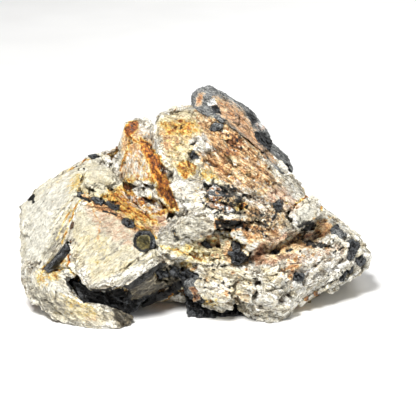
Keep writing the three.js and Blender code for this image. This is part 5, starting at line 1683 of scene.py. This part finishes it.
def layer_over(shader, below, name, strength, noise):
    """One layer over a colour, which holds stains and in some layers also painted shade and highlights. Noise
    thickens and thins it, and where it is thick it is darker.
    """
    swing, edges, _, _, colours = LAYER_COLOURS[name]
    swung = shader.times(shader.minus(noise, 0.5), 2 * swing)
    thick = shader.plus(strength, shader.times(swung, shader.step(strength, *LAYER_START)))
    amount = shader.step(thick, *edges)
    return shader.mix(amount, below, shader.ramp(thick, colours)), amount


def albite_noises(shader):
    """The masks and noises that the albite's colour and relief share."""
    rock = SimpleNamespace(run=shader.attribute("run"), where=shader.place(), masks=layer_masks(shader))
    rock.fine, rock.broad, rock.shut_in = shader.parts(shader.attribute("form"))
    fibre_place = shader.stretched(rock.where, rock.run, FIBRE_DRAW)
    rock.fibres, rock.threads = shader.noise(fibre_place, *FIBRES), shader.noise(fibre_place, *THREADS)
    rock.grain, rock.blotches = shader.noise(rock.where, *GRAIN), shader.noise(rock.where, *BLOTCHES)
    break_run = shader.stretched(rock.where, rock.run, BREAK_DRAW)
    rock.break_place = shader.vector("ADD", break_run, shader.warp(rock.where, *BREAK_WARP))
    rock.break_tint, rock.break_height = shader.breaks(rock.break_place, BREAK_SIZE)
    rock.chip_tint, rock.chip_height = shader.breaks(rock.break_place, CHIP_SIZE)
    calm = rock.masks["calm"]
    rock.rough_share, rock.plane_share = (shader.step(calm, *STEPS[name]) for name in ("rough", "planes"))
    return rock


def gather_iron(shader, rock):
    """Thickens the iron between the grains and in the hollows."""
    bent = shader.vector("ADD", rock.where, shader.warp(rock.where, *SEAM_WARP))
    seam = shader.step(shader.seams(bent, SEAM_SIZE), *STEPS["seam"])
    gather = shader.plus(seam, shader.step(rock.broad, *STEPS["hollow"]))
    iron = rock.masks["iron"]
    ironed = shader.times(gather, shader.step(iron, *STEPS["iron gathers"]))
    rock.masks["iron"] = shader.plus(iron, ironed)


def creased(shader, rock, colour):
    """Dirt and painted shade in the creases, and painted shade in the depths."""
    crease = shader.plus(shader.larger(rock.fine, rock.broad), shader.times(rock.grain, CREASE_GRAIN))
    colour = shader.mix(shader.step(crease, *STEPS["crease dirt and shade"]), colour, shader.ramp(rock.blotches, CREASE_DIRT_AND_SHADE))
    return shader.shade(shader.step(rock.shut_in, *STEPS["deep"]), colour, DEEP_SHADE)


def lined(shader, rock, colour):
    """Dark cleavage lines, in the blotches that have them."""
    lines = shader.noise(shader.stretched(shader.place(LINE_SHIFT), rock.run, LINE_DRAW), *LINES)
    line = shader.step(shader.math("ABSOLUTE", shader.minus(lines, 0.5)), *STEPS["line"])
    line = shader.times(line, shader.step(rock.blotches, *STEPS["line ground"]))
    line = shader.times(line, shader.step(rock.masks["calm"], *STEPS["line in calm"]))
    return shader.shade(line, colour, LINE_SHADE)


def grained(shader, rock, colour):
    """The threads of the fibres, dark specks and painted white glints, thinner where the rock is calm."""
    calm = rock.masks["calm"]
    colour = shader.shade(shader.step(calm, *STEPS["calm"]), colour, CALM_SHADE)
    patchy = shader.noise(shader.place(PATCHY_SHIFT), *PATCHY)
    crowded = shader.times(rock.rough_share, shader.step(patchy, *STEPS["crowded"]))
    threads = shader.ramp(rock.fibres, THREAD_SHADES)
    colour = shader.shade(shader.times(crowded, THREAD_SHARE), colour, threads)
    colour = shader.shade(crowded, colour, shader.ramp(rock.grain, GRAIN_SHADES))
    pepper = shader.ramp(rock.threads, PEPPER_SHADES)
    colour = shader.shade(shader.times(rock.rough_share, PEPPER_SHARE), colour, pepper)
    glints = shader.step(rock.threads, *STEPS["glint"])
    return shader.light(shader.times(glints, shader.step(calm, *STEPS["glint in calm"])), colour, PAINTED_GLINT)


def broken(shader, rock, colour):
    """A tint for each flat break, a painted glint on some of them, and dark gaps between them."""
    tinted = shader.times(rock.plane_share, BREAK_SHARE)
    for tint in (rock.break_tint, rock.chip_tint):
        colour = shader.shade(tinted, colour, shader.ramp(tint, BREAK_SHADES))
    # Painted glints on some of the breaks.
    bright_break = shader.step(rock.break_tint, *STEPS["bright break"])
    bright_chip = shader.step(rock.chip_tint, *STEPS["bright chip"])
    bright = shader.times(shader.larger(bright_break, bright_chip), rock.plane_share)
    colour = shader.light(bright, colour, PAINTED_GLINT)
    gap = shader.step(shader.seams(rock.break_place, BREAK_SIZE), *STEPS["gap"])
    gap = shader.times(shader.times(gap, rock.plane_share), shader.step(rock.fibres, *STEPS["gap ground"]))
    return shader.shade(gap, colour, GAP_SHADE)


def albite_normal(shader, rock):
    fibres = shader.plus(rock.fibres, shader.times(rock.threads, THREAD_RELIEF))
    planes = shader.times(shader.plus(rock.break_height, rock.chip_height), rock.rough_share)
    normal = shader.bump(planes, PLANE_BUMP, shader.bump(fibres, FIBRE_BUMP))
    return shader.bump(rock.grain, GRAIN_BUMP, normal)


def albite_material():
    shader = Shader("albite")
    rock = albite_noises(shader)
    gather_iron(shader, rock)
    colour = shader.ramp(rock.blotches, IVORY)
    # The layers go on in turn; the dark, last, holds dark grains and painted shade.
    for i, name in enumerate(LAYER_COLOURS):
        noise = layer_noise(shader, i, name, rock.run)
        colour, dark = layer_over(shader, colour, name, rock.masks[name], noise)  # dark is the last stain
    for finish in (creased, lined, grained, broken):
        colour = finish(shader, rock, colour)
    colour = shader.light(shader.step(rock.fine, *STEPS["edge"]), colour, EDGE_LIGHT)
    roughness = shader.plus(shader.times(rock.threads, THREAD_ROUGHNESS), ROUGHNESS)
    roughness = shader.minus(roughness, shader.times(dark, DARK_GLOSS))
    return shader.finish(Base_Color=colour, Roughness=roughness, Normal=albite_normal(shader, rock))


def schorl_layers(shader, run, grain, colour):
    """The films on a crystal, and how far any but the grey covers it. The grey is dust and grey patches, and
    on the crest a painted sheen of the glossy faces.
    """
    masks, covered = layer_masks(shader), 0.0
    for i, name in enumerate(CRYSTAL_LAYERS):
        noise = layer_noise(shader, FIRST_CRYSTAL_LAYER + i, name, run)
        if name == "grey":
            film = shader.plus(masks[name], shader.times(shader.minus(noise, 0.5), GREY_SWING))
            film = shader.step(film, *STEPS["grey dust and sheen"])
            colour = shader.mix(film, colour, shader.ramp(grain, SCHORL_GREY))
            continue
        colour, amount = layer_over(shader, colour, name, masks[name], noise)
        covered = shader.larger(covered, amount)
    return colour, covered


def schorl_material():
    shader = Shader("schorl")
    run, where = shader.attribute("run"), shader.place(SCHORL_SHIFT)
    fine, broad, shut_in = shader.parts(shader.attribute("form"))
    ribs = shader.noise(shader.stretched(where, run, RIB_DRAW), *RIBS)
    grain, blotches = shader.noise(where, *SCHORL_GRAIN), shader.noise(where, *SCHORL_BLOTCHES)
    colour, covered = schorl_layers(shader, run, grain, shader.ramp(blotches, SCHORL_COLOURS))
    colour = shader.mix(shader.step(broad, *STEPS["crystal dust"]), colour, SCHORL_DUST)
    # Painted highlight on the crystal's edges.
    colour = shader.mix(shader.step(fine, *STEPS["crystal edge highlight"]), colour, SCHORL_EDGE_HIGHLIGHT)
    colour = shader.shade(SCHORL_SHARE, colour, shader.ramp(ribs, SCHORL_THREADS))
    colour = shader.shade(SCHORL_SHARE, colour, shader.ramp(grain, SCHORL_SPECKS))
    # Painted shade where the crystal is shut in.
    colour = shader.shade(shader.step(shut_in, *STEPS["crystal deep shade"]), colour, SCHORL_DEEP_SHADE)
    roughness = shader.plus(shader.times(grain, GRAIN_ROUGHNESS), SCHORL_ROUGHNESS)
    roughness = shader.plus(roughness, shader.times(covered, STAIN_ROUGHNESS))
    scars = shader.breaks(shader.stretched(where, run, SCAR_DRAW), SCAR_SIZE)[1]
    normal = shader.bump(scars, SCAR_BUMP, shader.bump(ribs, RIB_BUMP))
    normal = shader.bump(grain, SCHORL_BUMP, normal)
    sheen = {"Specular_IOR_Level": SCHORL_SHEEN}
    return shader.finish(Base_Color=colour, Roughness=roughness, Normal=normal, **sheen)


def floor_material():
    shader = Shader("floor")
    colour = shader.ramp(shader.noise(shader.place(), *PAPER_NOISE), PAPER)
    return shader.finish(Base_Color=colour, Roughness=FLOOR_ROUGHNESS, Specular_IOR_Level=FLOOR_SHEEN)


# ---------------------------------------------------------------- the pieces

SHARP_ANGLE = math.radians(48)


def dress(made, node, material, slot, **attributes):
    """Gives a piece its attributes and its material, and joins it to the frame."""
    for name, values in attributes.items():
        set_attribute(made, name, values)
    made.data.materials.clear()
    made.data.materials.append(material)
    made.data.polygons.foreach_set("use_smooth", np.ones(len(made.data.polygons), bool))
    made.data.set_sharp_from_angle(angle=SHARP_ANGLE)
    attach(made, "root")
    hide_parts(node)


def layer_attributes(paint):
    """The layers' strengths, three to an attribute."""
    # The layers hold stains, painted shade and painted highlights alike.
    return {f"paint_layers_{i // 3}": paint[:, i:i + 3] for i in range(0, len(LAYERS), 3)}


def finish_albite(material):
    made, rock, seats = build_albite()
    points, normals = vertices_of(made), normals_of(made)
    front = Front(np.concatenate([points, seats.surface()[0]]))
    values = layer_attributes(albite_paint(points, normals, front))
    values["form"] = form_of(made, rock)
    values["run"] = region_values(points, normals @ TOWARDS > 0)[0]
    for piece, used in split_in_three(made):
        shares = {name: rows[used] for name, rows in values.items()}
        dress(piece, "albite_matrix", material, "albite", **shares)
    return front


def finish_crystals(material, front):
    for name in SCHORL_NODES:
        made, volume, axis = build_crystal(name)
        points = vertices_of(made)
        values = layer_attributes(crystal_paint(points, normals_of(made), front))
        run = np.tile(axis, (len(points), 1))
        dress(made, name, material, "schorl", **values, form=form_of(made, volume), run=run)


front = finish_albite(albite_material())
finish_crystals(schorl_material(), front)

# ---------------------------------------------------------------- floor, light and camera

FLOOR_REACH = 4.0  # metres
LIGHT_AIM = Vector((0, 0, 0.03))
# Each light's place and size in metres, its power in watts, and its colour.
LIGHTS = {
    "key": ((-0.14, -0.40, 0.60), 0.22, 7.7, (1.0, 0.995, 0.985)),
    "fill": ((0.7, -0.5, 0.35), 0.6, 1.0, (0.96, 0.98, 1.0)),
    "rim": ((0.2, 0.6, 0.5), 0.4, 2.0, (1.0, 1.0, 1.0)),
}
SKY_STRENGTH = 0.30
SENSOR = 36  # mm
NEAREST, FARTHEST = 0.01, 100  # metres that the camera sees between


def place_in_scene(name, data, place, looking):
    """An object at a place in metres, looking along a direction."""
    made = bpy.data.objects.new(name, data)
    made.location = place
    made.rotation_mode = "QUATERNION"
    made.rotation_quaternion = looking.to_track_quat("-Z", "Y")
    bpy.context.scene.collection.objects.link(made)
    return made


def build_floor():
    reach = FLOOR_REACH * MM
    corners = np.array([(-reach, -reach, 0), (reach, -reach, 0), (reach, reach, 0), (-reach, reach, 0)])
    made = mesh_object("floor", corners, np.array([(0, 1, 2, 3)]))
    made.data.materials.append(floor_material())


def build_lights():
    for name, (place, size, energy, colour) in LIGHTS.items():
        lamp = bpy.data.lights.new(name, "AREA")
        lamp.shape = "DISK"
        lamp.size, lamp.energy, lamp.color = size, energy, colour
        place_in_scene(name, lamp, place, LIGHT_AIM - Vector(place))


def build_world():
    world = bpy.data.worlds.new("studio")
    bpy.context.scene.world = world
    world.use_nodes = True
    background = world.node_tree.nodes["Background"]
    background.inputs["Color"].default_value = (1, 1, 1, 1)
    background.inputs["Strength"].default_value = SKY_STRENGTH


def build_camera():
    lens = bpy.data.cameras.new("camera")
    lens.sensor_fit = "HORIZONTAL"
    lens.sensor_width = SENSOR
    lens.lens = SENSOR * VIEW_DISTANCE / (WIDE * GRID)
    lens.clip_start, lens.clip_end = NEAREST, FARTHEST
    back = Vector(TOWARDS)
    place = (Vector(ORIGIN) + back * VIEW_DISTANCE) / MM
    bpy.context.scene.camera = place_in_scene("camera", lens, place, -back)


build_floor()
build_lights()
build_world()
build_camera()
view = bpy.context.scene.view_settings
view.view_transform = "Standard"
view.look = "None"
